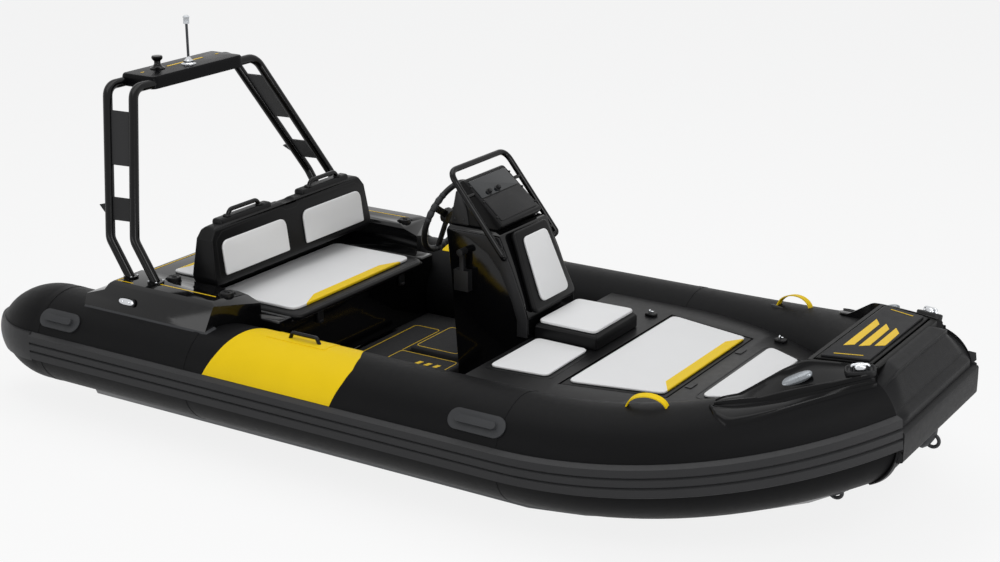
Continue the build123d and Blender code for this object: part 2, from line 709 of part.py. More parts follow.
# ------------------------------------------------------------------ bow moulding and hatch
BOW_SIDE = [(1352, 470), (1360, 590), (1400, 610), (1470, 648), (1560, 694), (1630, 725), (1680, BOW_TOP_Z),
            (1880, BOW_TOP_Z), (1915, 722), (1930, 690), (1930, 560), (1500, 470)]
BOW_PLAN = [(1352, 596), (1560, 520), (1720, 440), (1860, 365), (1925, 275)]
BOW_WELL = [(1300, 560), (1420, 505), (1560, 420), (1612, 350)]
with BuildPart() as bow_moulding:
    prism_xz(BOW_SIDE, (-640, 640))
    prism_xy(both_sides(BOW_PLAN), (400, 800), mode=Mode.INTERSECT)
    prism_xy(both_sides(BOW_WELL), (300, 800), mode=Mode.SUBTRACT)
    cut_tubes(0.8)
    prism_xy(both_sides([(1628, 345), (1838, 292)]), (718, 800), mode=Mode.SUBTRACT)
save(bow_moulding.part, "bow_moulding")

with BuildPart() as bow_hatch:
    prism_xy(both_sides([(1634, 337), (1831, 287)]), (724, 740))
save(bow_hatch.part, "bow_hatch")

with BuildPart() as bow_hatch_pad:
    prism_xy(both_sides([(1648, 318), (1816, 274)]), (740.3, 748))
save(bow_hatch_pad.part, "bow_hatch_pad")

with BuildPart() as cleats:
    for side in (-1, 1):
        spot = Location((1812, side * 345, BOW_TOP_Z + 0.4), (0, 0, side * -26))
        with Locations(spot):
            for x in (-22, 22):
                with Locations((x, 0, 10)):
                    Cylinder(7, 20)
            with Locations(Location((0, 0, 22), (0, 90, 0))):
                Cylinder(7, 116)
save(cleats.part, "cleats")

with BuildPart() as nav_lights:
    for side in (-1, 1):
        with Locations(Location((1590, side * 470, 700), (side * -28, -18, side * -26))):
            Cylinder(20, 60)
        prism_xz(BOW_SIDE, (-640, 640), mode=Mode.SUBTRACT)
save(nav_lights.part, "nav_lights")
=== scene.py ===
"""Looks of a jet tender afloat: finishes, upholstery, trim, light and camera."""

import json
import logging
from dataclasses import dataclass
from enum import Enum
from math import radians

import bmesh
import bpy
import numpy as np
from mathutils import Matrix, Vector

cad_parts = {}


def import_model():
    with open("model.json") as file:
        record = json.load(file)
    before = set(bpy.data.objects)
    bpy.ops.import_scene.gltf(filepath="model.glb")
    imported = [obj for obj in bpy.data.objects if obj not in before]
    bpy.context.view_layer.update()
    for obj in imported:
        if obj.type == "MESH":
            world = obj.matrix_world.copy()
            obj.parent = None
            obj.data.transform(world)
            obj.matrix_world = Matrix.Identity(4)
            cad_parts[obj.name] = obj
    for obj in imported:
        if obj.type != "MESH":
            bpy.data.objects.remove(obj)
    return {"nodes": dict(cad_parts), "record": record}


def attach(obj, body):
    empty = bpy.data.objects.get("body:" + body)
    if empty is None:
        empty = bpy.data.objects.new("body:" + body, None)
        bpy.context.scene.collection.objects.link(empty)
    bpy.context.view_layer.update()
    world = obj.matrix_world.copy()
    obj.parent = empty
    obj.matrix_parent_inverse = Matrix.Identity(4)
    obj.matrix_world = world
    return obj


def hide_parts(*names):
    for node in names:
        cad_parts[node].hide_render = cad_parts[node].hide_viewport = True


LOG = logging.getLogger("tender")
SIDES = ((-1, "starboard"), (1, "port"))
OUTLINE_POINTS = 128
WELD = 2e-5
FLAT_WITHIN = radians(0.8)
EDGE_BEYOND = radians(28)
Array = np.ndarray
Triple = tuple[float, float, float]
Outline = list[tuple[float, float]]
Surface = tuple[Array, list[tuple[int, ...]]]
Socket = bpy.types.NodeSocket
Value = Socket | float | tuple[float, ...]


# ---------------------------------------------------------------- finishes
class Grain(Enum):
    """Surface relief of a finish."""

    SMOOTH = "smooth"
    CLOTH = "cloth"
    LEATHER = "leather"
    BRUSHED = "brushed"
    PEBBLE = "pebble"


def linear(code: str) -> tuple[float, float, float, float]:
    """Turn a web colour into linear light.

    Args:
        code: six hexadecimal digits.

    Returns:
        Red, green, blue and alpha.
    """
    values = np.array([int(code[i:i + 2], 16) for i in (0, 2, 4)]) / 255.0
    light = np.where(values <= 0.04045, values / 12.92, ((values + 0.055) / 1.055) ** 2.4)
    return (float(light[0]), float(light[1]), float(light[2]), 1.0)


@dataclass(frozen=True)
class Nodes:
    """Shader nodes of one tree. An input takes a number, a colour or another node's output."""

    tree: bpy.types.NodeTree

    def put(self, socket: Socket, value: Value) -> None:
        """Link an output to an input, or set the input's own value.

        Args:
            socket: the input.
            value: what it takes.
        """
        if isinstance(value, Socket):
            self.tree.links.new(value, socket)
        else:
            socket.default_value = value

    def fill(self, node: bpy.types.Node, **values: Value) -> None:
        """Set a node's inputs.

        Args:
            node: the node.
            values: what its inputs take, by name with underscores for spaces.
        """
        for name, value in values.items():
            self.put(node.inputs[name.replace("_", " ")], value)

    def add(self, kind: str, **values: Value) -> bpy.types.Node:
        """Add a node.

        Args:
            kind: the node's type without its first word.
            values: what its inputs take.

        Returns:
            The node.
        """
        node = self.tree.nodes.new(f"ShaderNode{kind}")
        self.fill(node, **values)
        return node

    def math(self, operation: str, *values: Value) -> Socket:
        """Add arithmetic on one to three values.

        Args:
            operation: its kind, such as MULTIPLY.
            values: its terms.

        Returns:
            The result.
        """
        node = self.add("Math")
        node.operation = operation
        for socket, value in zip(node.inputs, values):
            self.put(socket, value)
        return node.outputs[0]

    def noise(self, place: Socket, scale: float, detail: float) -> Socket:
        """Add a noise texture.

        Args:
            place: where it is read.
            scale: its size, as cells in a metre.
            detail: its octaves.

        Returns:
            A value round one half.
        """
        return self.add("TexNoise", Vector=place, Scale=scale, Detail=detail).outputs["Fac"]

    def mix(self, share: Socket, *colours: Value) -> Socket:
        """Mix two colours.

        Args:
            share: how much of the second.
            colours: both.

        Returns:
            The colour between them.
        """
        node = self.add("Mix", Factor=share)
        node.data_type = "RGBA"
        for socket, value in zip([s for s in node.inputs if s.type == "RGBA"], colours):
            self.put(socket, value)
        return [s for s in node.outputs if s.type == "RGBA"][0]

    def seen(self) -> Socket:
        """Value of 1 for camera, mirror and see-through rays, and 0 for all others."""
        rays = self.add("LightPath").outputs
        straight = self.math("MAXIMUM", rays["Is Camera Ray"], rays["Is Glossy Ray"])
        return self.math("MAXIMUM", straight, rays["Is Transmission Ray"])

    def finish(self, kind: str, share: Socket, *shaders: bpy.types.Node) -> None:
        """Mix two shaders into the tree's output.

        Args:
            kind: what the tree belongs to.
            share: how much of the second.
            shaders: both.
        """
        mix = self.add("MixShader", Fac=share)
        for socket, shader in zip(list(mix.inputs)[1:], shaders):
            self.put(socket, shader.outputs[0])
        self.add(f"Output{kind}", Surface=mix.outputs[0])


@dataclass(frozen=True)
class Stripe:
    """Coloured band along a cushion's front or rear edge, in metres.

    With d = way * (edge - x), the band lies where d < depth and
    |y| < half - slant * d.
    """

    edge: float
    depth: float
    half: float
    way: float = 1.0
    slant: float = 1.2
    code: str = "EBC70E"

    def over(self, nodes: Nodes, place: Socket, colour: Socket) -> Socket:
        """Lay the band over a colour.

        Args:
            nodes: the material's nodes.
            place: where it is read.
            colour: the colour round the band.

        Returns:
            The colour with the band in it.
        """
        split = nodes.add("SeparateXYZ", Vector=place).outputs
        depth = nodes.math("MULTIPLY_ADD", split["X"], -self.way, self.way * self.edge)
        near = nodes.math("LESS_THAN", depth, self.depth)
        room = nodes.math("MULTIPLY_ADD", depth, -self.slant, self.half)
        short = nodes.math("LESS_THAN", nodes.math("ABSOLUTE", split["Y"]), room)
        return nodes.mix(nodes.math("MULTIPLY", near, short), colour, linear(self.code))


@dataclass(frozen=True)
class Finish:
    """One procedural material: cloudy colour, uneven roughness and a fine relief."""

    name: str
    code: str
    rough: float
    grain: Grain = Grain.SMOOTH
    size: float = 900.0
    relief: float = 0.05
    metal: float = 0.0
    coat: float = 0.0
    mottle: float = 0.12
    gloss: float = 0.30
    stripe: Stripe | None = None
    clouds: tuple[float, float] = (5.0, 4.0)
    smears: tuple[float, float] = (38.0, 6.0)
    spread: tuple[float, float] = (-0.06, 0.08)
    coat_rough: float = 0.08
    depth: float = 0.001

    def build(self) -> bpy.types.Material:
        """Make the node tree, once.

        Returns:
            The material.
        """
        label = f"finish_{self.name}"
        known = bpy.data.materials.get(label)
        if known:
            return known
        material = bpy.data.materials.new(label)
        material.use_nodes = True
        nodes = Nodes(material.node_tree)
        place = nodes.add("TexCoord").outputs["Object"]
        base = np.array(linear(self.code))[:3]
        tints = [(*np.clip(base * (1 + way * self.mottle), 0, 1), 1.0) for way in (-1, 1)]
        colour = nodes.mix(nodes.noise(place, *self.clouds), *tints)
        if self.stripe:
            colour = self.stripe.over(nodes, place, colour)
        low, high = self.spread
        rough = nodes.add("MapRange", To_Min=max(self.rough + low, 0.02), To_Max=min(self.rough + high, 1.0),
                          Value=nodes.noise(place, *self.smears))
        bump = nodes.add("Bump", Strength=self.relief, Distance=self.depth, Height=self.height(nodes, place))
        nodes.fill(material.node_tree.nodes["Principled BSDF"], Metallic=self.metal,
                   Specular_IOR_Level=self.gloss, Coat_Weight=self.coat, Coat_Roughness=self.coat_rough,
                   Base_Color=colour, Roughness=rough.outputs["Result"], Normal=bump.outputs["Normal"])
        return material

    def height(self, nodes: Nodes, place: Socket) -> Socket:
        """Relief of the surface.

        Args:
            nodes: the material's nodes.
            place: where it is read.

        Returns:
            A value that rises with the relief.
        """
        if self.grain is Grain.CLOTH:
            threads = []
            for axis in "XZ":
                wave = nodes.add("TexWave", Vector=place, Scale=self.size / 20, Distortion=0.6)
                wave.bands_direction = axis
                threads.append(wave.outputs["Fac"])
            return nodes.math("ADD", *threads)
        if self.grain in (Grain.LEATHER, Grain.PEBBLE):
            cells = nodes.add("TexVoronoi", Vector=place, Scale=self.size)
            cells.feature = "DISTANCE_TO_EDGE" if self.grain is Grain.LEATHER else "F1"
            return cells.outputs["Distance"]
        if self.grain is Grain.BRUSHED:
            place = nodes.add("Mapping", Vector=place, Scale=(1.0, 12.0, 12.0)).outputs["Vector"]
            return nodes.noise(place, self.size / 6, 5.0)
        return nodes.noise(place, self.size / 4, 6.0)


class Look(Enum):
    """The boat's finishes."""

    HULL = Finish("hull", "0E1822", 0.30, Grain.PEBBLE, 260, 0.04, coat=0.2)
    TUBE = Finish("tube_cloth", "0D0D0E", 0.46, Grain.CLOTH, 9000, 0.10, gloss=0.07)
    # Same cloth as TUBE but lighter: painted light, the brighter light falling on the bow tube, apron and
    # strake cover from the front.
    NOSE_PAINTED_LIGHT = Finish("nose_cloth_painted_light", "19191A", 0.46, Grain.CLOTH, 9000, 0.10, gloss=0.10)
    SEAL = Finish("seal_rubber", "050505", 0.34, Grain.PEBBLE, 500, 0.08, gloss=0.07)
    STRAKE = Finish("strake", "2A2A2B", 0.44, Grain.PEBBLE, 700, 0.12, gloss=0.2)
    RUBBER = Finish("patch", "2B2C2E", 0.56, Grain.PEBBLE, 500, 0.18)
    GELCOAT = Finish("gelcoat", "070708", 0.09, Grain.SMOOTH, 260, 0.02, gloss=0.3)
    SATIN = Finish("moulding_satin", "0E0E0F", 0.34, Grain.PEBBLE, 900, 0.05, gloss=0.13)
    WING = Finish("wing_gloss", "09090A", 0.20, Grain.SMOOTH, 300, 0.03, gloss=0.12)
    PANEL = Finish("panel", "242425", 0.36, Grain.PEBBLE, 900, 0.08, gloss=0.2)
    PAINT = Finish("gloss_paint", "060607", 0.16, Grain.SMOOTH, 300, 0.03, gloss=0.20)
    ROOF = Finish("roof_paint", "08080A", 0.27, Grain.SMOOTH, 300, 0.03, gloss=0.07)
    VINYL = Finish("pad_vinyl", "E4E4E4", 0.50, Grain.LEATHER, 520, 0.20, mottle=0.02)
    YELLOW = Finish("yellow_cloth", "EBC70E", 0.50, Grain.CLOTH, 9000, 0.10, mottle=0.05, gloss=0.14)
    STEEL = Finish("steel", "C9CBCE", 0.16, Grain.BRUSHED, 900, 0.03, metal=1.0)
    PLASTIC = Finish("plastic", "161617", 0.40, Grain.PEBBLE, 900, 0.14, gloss=0.2)
    ALLOY = Finish("alloy", "8E9296", 0.34, Grain.BRUSHED, 500, 0.10, metal=1.0)
    MAT = Finish("deck_mat", "161617", 0.76, Grain.PEBBLE, 420, 0.45)
    HATCH_MAT = Finish("hatch_mat", "262627", 0.66, Grain.PEBBLE, 420, 0.30, gloss=0.15)
    MAST = Finish("mast_alloy", "3A3C3F", 0.30, Grain.BRUSHED, 900, 0.03, metal=0.6)
    SCREEN = Finish("screen_glass", "0D1216", 0.10, Grain.SMOOTH, 200, 0.01, coat=0.4)
    LINE = Finish("yellow_line", "E6BE0C", 0.44, Grain.SMOOTH, 300, 0.04, mottle=0.05)
    TAPE = Finish("seam_tape", "111112", 0.36, Grain.SMOOTH, 400, 0.06, gloss=0.15)
    LENS = Finish("lamp_lens", "C6CACE", 0.12, Grain.SMOOTH, 200, 0.02, coat=0.6)
    DOME = Finish("light_dome", "84888C", 0.26, Grain.LEATHER, 110, 0.35, metal=0.6)


SLOT_LOOKS: dict[str, Look] = {
    "hull_paint": Look.HULL, "tube_fabric": Look.TUBE, "strake_rubber": Look.STRAKE,
    "trim_rubber": Look.RUBBER, "yellow_strap": Look.YELLOW, "moulding_black": Look.GELCOAT,
    "panel_grey": Look.PANEL, "tube_paint": Look.PAINT, "white_vinyl": Look.VINYL,
    "bright_steel": Look.STEEL, "cap_plastic": Look.PLASTIC, "jet_alloy": Look.ALLOY,
}
NODE_LOOKS: dict[str, Look] = {
    "bow_hatch_pad": Look.HATCH_MAT, "floor_steps": Look.MAT, "floor_liner": Look.MAT,
    "bow_hatch": Look.SEAL, "throttle": Look.PLASTIC, "top_grips": Look.PAINT,
    "arch_panels": Look.PANEL, "arch_brackets": Look.PLASTIC, "instrument_box": Look.SATIN,
    "bow_moulding": Look.SATIN, "foredeck": Look.SATIN, "locker_lid": Look.SATIN,
    "backrest_shell": Look.SATIN, "console_backrest": Look.SATIN, "seat_box": Look.SATIN,
    # The bow tube takes the lighter nose cloth: painted light on the nose.
    "tube_bow": Look.NOSE_PAINTED_LIGHT, "light_mast": Look.MAST,
}
TRIMS: dict[str, int] = {"side_pod_starboard": -1, "side_pod_port": 1}
SOFT_EDGES: dict[str, float] = {
    "stern_deck": 0.012, "side_pod_starboard": 0.010, "side_pod_port": 0.010,
    "bench_base": 0.008, "backrest_shell": 0.014, "console_body": 0.012,
    "console_backrest": 0.010, "foredeck": 0.008, "seat_box": 0.006, "locker_lid": 0.004,
    "bow_hatch": 0.004, "instrument_box": 0.010, "console_strips": 0.003, "throttle": 0.005,
    "hull": 0.004, "drive_unit": 0.006, "floor_steps": 0.004, "jet_housing": 0.004,
    "bow_hatch_pad": 0.002, "tube_handles": 0.003,
}


# ---------------------------------------------------------------- surfaces from arrays
def skin(rings: Array, wrap: bool = False) -> Surface:
    """Join rings of points into a closed surface.

    Args:
        rings: points shaped (ring, around, 3).
        wrap: joins the last ring to the first instead of capping both ends.

    Returns:
        Vertices and faces.
    """
    count, around = rings.shape[:2]
    index = np.arange(count * around).reshape(count, around)
    follow = np.roll(index, -1, axis=1)
    first, second = (index, np.roll(index, -1, axis=0)) if wrap else (index[:-1], index[1:])
    ahead = np.roll(follow, -1, axis=0) if wrap else follow[1:]
    start = follow if wrap else follow[:-1]
    quads = np.stack([first, start, ahead, second], axis=-1).reshape(-1, 4)
    faces = [tuple(q) for q in quads.tolist()]
    if not wrap:
        faces += [tuple(index[0][::-1].tolist()), tuple(index[-1].tolist())]
    return rings.reshape(-1, 3), faces


def offset(x: float, y: float, z: float) -> Matrix:
    """Shift along a placement's own axes."""
    return Matrix.Translation((x, y, z))


def placed(surface: Surface, spot: Matrix) -> Surface:
    """Surface carried by a placement.

    Args:
        surface: vertices and faces.
        spot: where it goes.

    Returns:
        Vertices and faces.
    """
    points, faces = surface
    turn = np.array(spot)
    return points @ turn[:3, :3].T + turn[:3, 3], faces


def box(left: float, low: float, right: float, high: float) -> Outline:
    """Corners of a rectangle, in order, from two opposite ones."""
    return [(left, low), (right, low), (right, high), (left, high)]


def mirrored(corners: Outline) -> Outline:
    """Outline closed by its own mirror image across the first axis."""
    return corners + [(x, -y) for x, y in reversed(corners)]


def stacked(loops: list[tuple[Array, float]]) -> Array:
    """Level rings from pairs of a plan loop and its height."""
    return np.stack([np.column_stack([loop, np.full(len(loop), z)]) for loop, z in loops])


def added(name: str, data: bpy.types.ID) -> bpy.types.Object:
    """Put a new object in the scene.

    Args:
        name: its name.
        data: its mesh, camera or lamp.

    Returns:
        The object.
    """
    thing = bpy.data.objects.new(name, data)
    bpy.context.scene.collection.objects.link(thing)
    return thing


@dataclass
class Piece:
    """A finished mesh that rides on one body."""

    name: str
    look: Look | Finish
    surface: Surface
    slot: str
    instead: str = ""
    body: str = "boat"
    smooth: float = 40.0

    def make(self) -> bpy.types.Object:
        """Create the object with outward faces.

        Returns:
            The object, riding on its body.
        """
        points, faces = self.surface
        mesh = bpy.data.meshes.new(self.name)
        mesh.from_pydata(points.tolist(), [], faces)
        mesh.validate()
        mesh.update()
        if volume(mesh) < 0:
            mesh.flip_normals()
        mesh.polygons.foreach_set("use_smooth", np.ones(len(mesh.polygons), bool))
        mesh.set_sharp_from_angle(angle=radians(self.smooth))
        finish = self.look.value if isinstance(self.look, Look) else self.look
        mesh.materials.append(finish.build())
        thing = added(self.name, mesh)
        if self.instead:
            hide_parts(self.instead)
        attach(thing, self.body)
        LOG.info("made %s on %s", self.name, self.body)
        return thing


def make_all(pieces: list[Piece]) -> None:
    """Make pieces in their order."""
    for piece in pieces:
        piece.make()


def volume(mesh: bpy.types.Mesh) -> float:
    """Signed volume of a closed mesh: the sum of a . (b x c) / 6 over its triangles.

    Args:
        mesh: the mesh, its triangles worked out here.

    Returns:
        Cubic metres, negative when its faces point inward.
    """
    mesh.calc_loop_triangles()
    points = np.empty(len(mesh.vertices) * 3)
    mesh.vertices.foreach_get("co", points)
    points = points.reshape(-1, 3)
    corners = np.empty(len(mesh.loop_triangles) * 3, np.int32)
    mesh.loop_triangles.foreach_get("vertices", corners)
    a, b, c = (points[corners.reshape(-1, 3)[:, i]] for i in range(3))
    return float(np.einsum("ij,ij->i", a, np.cross(b, c)).sum() / 6)


def join(parts: list[Surface]) -> Surface:
    """Put several surfaces into one.

    Args:
        parts: pairs of vertices and faces.

    Returns:
        Vertices and faces.
    """
    points, faces, start = [], [], 0
    for verts, polys in parts:
        points.append(verts)
        faces += [tuple(i + start for i in face) for face in polys]
        start += len(verts)
    return np.concatenate(points), faces


def unit(vectors: Array) -> Array:
    """Vectors scaled to a length of one."""
    return vectors / np.linalg.norm(vectors, axis=1, keepdims=True)


def turned(start: Array, corner: Array, end: Array, steps: int) -> Array:
    """Corners turned as (1-t)^2 start + 2t(1-t) corner + t^2 end.

    Args:
        start: where each turn begins.
        corner: the corners themselves.
        end: where each turn ends.
        steps: points on each turn.

    Returns:
        Points of all turns in order.
    """
    t = np.linspace(0, 1, steps)[None, :, None]
    arc = (1 - t) ** 2 * start[:, None] + 2 * t * (1 - t) * corner[:, None] + t ** 2 * end[:, None]
    return arc.reshape(-1, corner.shape[1])


def along_table(table: Array, count: int) -> Array:
    """Points at even steps along the straight lines between a table's rows."""
    steps = np.linspace(0, len(table) - 1, count)
    return np.stack([np.interp(steps, np.arange(len(table)), column) for column in table.T], axis=1)


def rounded_outline(corners: Array, radius: float | list[float], steps: int = 7) -> Array:
    """Closed outline with each corner turned on a curve.

    Args:
        corners: corner points shaped (n, 2).
        radius: corner radius in metres, one for all or one a corner.
        steps: points on each arc.

    Returns:
        Points shaped (n * steps, 2).
    """
    before, after = np.roll(corners, 1, axis=0), np.roll(corners, -1, axis=0)
    u, v = unit(before - corners), unit(after - corners)
    half = np.arccos(np.clip((u * v).sum(1), -1, 1)) / 2
    reach = (np.asarray(radius, float) / np.tan(half))[:, None]
    return turned(corners + u * reach, corners, corners + v * reach, steps)


def resample(loop: Array, count: int) -> Array:
    """Spread a closed loop's points evenly along its length.

    Args:
        loop: its points, in order.
        count: how many to return.

    Returns:
        Points shaped (count, loop's columns).
    """
    closed = np.vstack([loop, loop[:1]])
    run = np.concatenate([[0], np.cumsum(np.linalg.norm(np.diff(closed, axis=0), axis=1))])
    spots = np.linspace(0, run[-1], count, endpoint=False)
    return np.stack([np.interp(spots, run, closed[:, i]) for i in range(loop.shape[1])], axis=1)


def inward(loop: Array) -> Array:
    """Unit inward normals of a closed plan loop, square to the chord past each point.

    Args:
        loop: points shaped (n, 2).

    Returns:
        One normal a point.
    """
    along = np.roll(loop, -1, axis=0) - np.roll(loop, 1, axis=0)
    normal = unit(np.stack([-along[:, 1], along[:, 0]], axis=1))
    return normal * np.sign(((loop.mean(0) - loop) * normal).sum(1, keepdims=True))


@dataclass
class Cushion:
    """Upholstered pad on a plane.

    The side bulges slightly through given insets at four heights and the top rises as
    height + crown * (1 - (1 - f) ** 2.6), with f from 0 at its edge to 1 at
    its middle.
    """

    name: str
    node: str
    body: str
    corners: Outline
    height: float
    crown: float
    radius: float | list[float]
    seat: Matrix
    stripe: Stripe | None = None
    fill: float = 0.85
    edge: float = 0.009

    def rings(self) -> Array:
        """Rings from the bottom's middle round the side to the top's middle."""
        loop = resample(rounded_outline(np.array(self.corners), self.radius), OUTLINE_POINTS)
        normal, middle = inward(loop), loop.mean(0)
        edge = min(self.edge, self.height * 0.5)
        base = [(middle + (loop - middle) * share, 0.0) for share in (0.02, 0.5, 0.9)]
        side = [(loop + normal * inset, self.height * level)
                for inset, level in ((0.004, 0.0), (0.001, 0.12), (0.0, 0.35), (0.0006, 0.6))]
        shoulder = [(loop + normal * edge * (1 - np.cos(angle)), self.height - edge + edge * np.sin(angle))
                    for angle in np.linspace(0.2, 1.0, 5) * np.pi / 2]
        rim = loop + normal * edge
        top = [(middle + (rim - middle) * (1 - f), self.height + self.crown * (1 - (1 - f) ** 2.6))
               for f in (0.04, 0.09, 0.16, 0.26, 0.4, 0.55, 0.72, 0.88, 0.985)]
        return stacked(base + side + shoulder + top)

    def make(self) -> bpy.types.Object:
        """Create the cushion and hide its plain solid."""
        surface = placed(skin(self.rings()), self.seat)
        look: Look | Finish = Look.VINYL
        if self.stripe:
            plain = Look.VINYL.value
            look = Finish(f"{self.name}_vinyl", plain.code, plain.rough, plain.grain, plain.size,
                          plain.relief, mottle=plain.mottle, stripe=self.stripe)
        thing = Piece(self.name, look, surface, "white_vinyl", body=self.body, smooth=50).make()
        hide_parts(self.node)
        return thing


def ribbon(path: Array, width: float, height: float, up: Array, wrap: bool = False) -> Surface:
    """Flat strip with square edges laid along a path.

    Args:
        path: points shaped (n, 3).
        width: across the strip.
        height: thickness off the surface.
        up: outward direction of the surface, one for all or one a point.
        wrap: closes the strip on itself.

    Returns:
        Vertices and faces.
    """
    if wrap:
        along = np.roll(path, -1, axis=0) - path
        back = path - np.roll(path, 1, axis=0)
    else:
        along = np.vstack([path[1:] - path[:-1], path[-1:] - path[-2:-1]])
        back = np.vstack([along[:1], along[:-1]])
    along, back = unit(along), unit(back)
    up = np.broadcast_to(np.asarray(up, float), path.shape)
    mean = unit(along + back)
    side = unit(np.cross(mean, up))
    stretch = 1 / np.clip((mean * along).sum(1, keepdims=True), 0.4, 1)
    reach = side * (width / 2) * stretch
    rings = np.stack([path - reach, path + reach, path + reach + up * height,
                      path - reach + up * height], axis=1)
    return skin(rings, wrap)


def lathe(profile: Outline, spot: Matrix, around: int = 40) -> Surface:
    """Turn a profile about the local Z axis: (r cos a, r sin a, z).

    Args:
        profile: pairs of radius and height, from the bottom up.
        spot: where it stands.
        around: points in each ring.

    Returns:
        Vertices and faces.
    """
    angle = np.linspace(0, 2 * np.pi, around, endpoint=False)
    ring = np.stack([np.cos(angle), np.sin(angle)], axis=1)
    return placed(skin(stacked([(ring * max(r, 1e-5), z) for r, z in profile])), spot)


def power_wave(wave: Array, power: float) -> Array:
    """Sine or cosine bent towards a box: sign(w) |w| ^ (2 / power)."""
    return np.sign(wave) * np.abs(wave) ** (2 / power)


def pillow_box(size: Triple, spot: Matrix, power: float = 5.0, steps: int = 11, around: int = 48) -> Surface:
    """Box with soft corners: |x/a|^p + |y/b|^p = 1 in plan, rounded top and bottom.

    Args:
        size: its full length, width and height.
        spot: where its middle is.
        power: p, larger for squarer corners.
        steps: rings from bottom to top.
        around: points in each ring.

    Returns:
        Vertices and faces.
    """
    angle = np.linspace(0, 2 * np.pi, around, endpoint=False)
    plan = np.stack([power_wave(np.cos(angle), power), power_wave(np.sin(angle), power)], axis=1)
    tilt = np.linspace(-np.pi / 2, np.pi / 2, steps)
    reach = np.maximum(np.cos(tilt), 1e-4) ** (2 / power)
    rings = stacked([(plan * r, z) for r, z in zip(reach, power_wave(np.sin(tilt), power))])
    return placed(skin(rings * (np.array(size) / 2)), spot)


def raised(corners: Outline, radius: float | list[float], levels: Outline, spot: Matrix) -> Surface:
    """Closed form of one rounded outline stepped inward at each height.

    Args:
        corners: outline on the plane.
        radius: corner radius, one for all or one a corner.
        levels: pairs of inset and height, from the bottom up.
        spot: plane that it stands on.

    Returns:
        Vertices and faces.
    """
    loop = resample(rounded_outline(np.array(corners, float), radius), OUTLINE_POINTS)
    normal = inward(loop)
    return placed(skin(stacked([(loop + normal * inset, z) for inset, z in levels])), spot)


def bent_path(corners: list[Triple], bend: float, steps: int = 9) -> Array:
    """Open path whose corners are turned as (1-t)^2 a + 2t(1-t) corner + t^2 b.

    Args:
        corners: points of the path.
        bend: how far before and after a corner its turn begins and ends.
        steps: points on each turn.

    Returns:
        Points shaped (n, 3).
    """
    knots = np.array(corners, float)
    before, here, after = knots[:-2], knots[1:-1], knots[2:]
    arcs = turned(here + unit(before - here) * bend, here, here + unit(after - here) * bend, steps)
    return np.concatenate([knots[:1], arcs, knots[-1:]])


def tube_along(path: Array, radius: float, around: int = 20) -> Surface:
    """Round tube along a path, with domed ends.

    Each ring is centre + r (cos a * side + sin a * over), with side square to
    the run and to the direction in which the path spreads least.

    Args:
        path: points shaped (n, 3).
        radius: the tube's radius.
        around: points in each ring.

    Returns:
        Vertices and faces.
    """
    run = unit(np.gradient(path, axis=0))
    least = np.linalg.svd(path - path.mean(0))[2][2]
    side = unit(np.cross(run, least))
    over = np.cross(side, run)
    dome = np.array([0.02, 0.5, 0.86])
    back = -np.sqrt(1 - dome ** 2)[:, None] * radius
    centres = np.concatenate([path[:1] + back * run[:1], path, path[-1:] - back[::-1] * run[-1:]])
    sides, overs = (np.pad(line, ((3, 3), (0, 0)), "edge") for line in (side, over))
    reach = np.concatenate([dome * radius, np.full(len(path), radius), dome[::-1] * radius])
    angle = np.linspace(0, 2 * np.pi, around, endpoint=False)[None, :, None]
    rings = centres[:, None] + reach[:, None, None] * (np.cos(angle) * sides[:, None]
                                                       + np.sin(angle) * overs[:, None])
    return skin(rings)


def seat_at(origin: Triple, x_dir: Triple = (1, 0, 0), z_dir: Triple = (0, 0, 1)) -> Matrix:
    """Placement with local Z along z_dir and local X as near x_dir as that allows.

    Args:
        origin: where it is.
        x_dir: direction of its X axis.
        z_dir: direction of its Z axis.

    Returns:
        The matrix.
    """
    z = Vector(z_dir).normalized()
    x = Vector(x_dir)
    x = (x - z * x.dot(z)).normalized()
    y = z.cross(x)
    matrix = Matrix((x, y, z)).transposed().to_4x4()
    matrix.translation = Vector(origin)
    return matrix


def seat_on(side: int, *port: Triple) -> Matrix:
    """Placement from its port values, as for seat_at, or its mirror image for a side of -1."""
    return seat_at(*((x, side * y, z) for x, y, z in port))


# ---------------------------------------------------------------- CAD nodes
def dress_nodes(nodes: dict[str, bpy.types.Object], slots: dict[str, str]) -> None:
    """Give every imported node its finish.

    Args:
        nodes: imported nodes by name.
        slots: material slot of each node.
    """
    for name, node in nodes.items():
        look = NODE_LOOKS.get(name, SLOT_LOOKS[slots[name]])
        node.data.materials.clear()
        node.data.materials.append(look.value.build())


def trimmed(work: bmesh.types.BMesh, side: int, limit: float = -0.800, turn: float = radians(22)) -> None:
    """Cut a pod's fore end by an upright plane turned outward, and close the cut.

    Args:
        work: the pod's mesh.
        side: -1 for starboard, 1 for port.
        limit: where the plane stands along the boat.
        turn: how far it is turned, in radians.
    """
    everything = work.verts[:] + work.edges[:] + work.faces[:]
    cut = bmesh.ops.bisect_plane(work, geom=everything, dist=1e-6, plane_co=(limit, side * 0.70, 0),
                                 plane_no=(np.cos(turn), side * np.sin(turn), 0), clear_outer=True)
    rim = [e for e in cut["geom_cut"] if isinstance(e, bmesh.types.BMEdge)]
    bmesh.ops.contextual_create(work, geom=rim)
    bmesh.ops.recalc_face_normals(work, faces=work.faces)


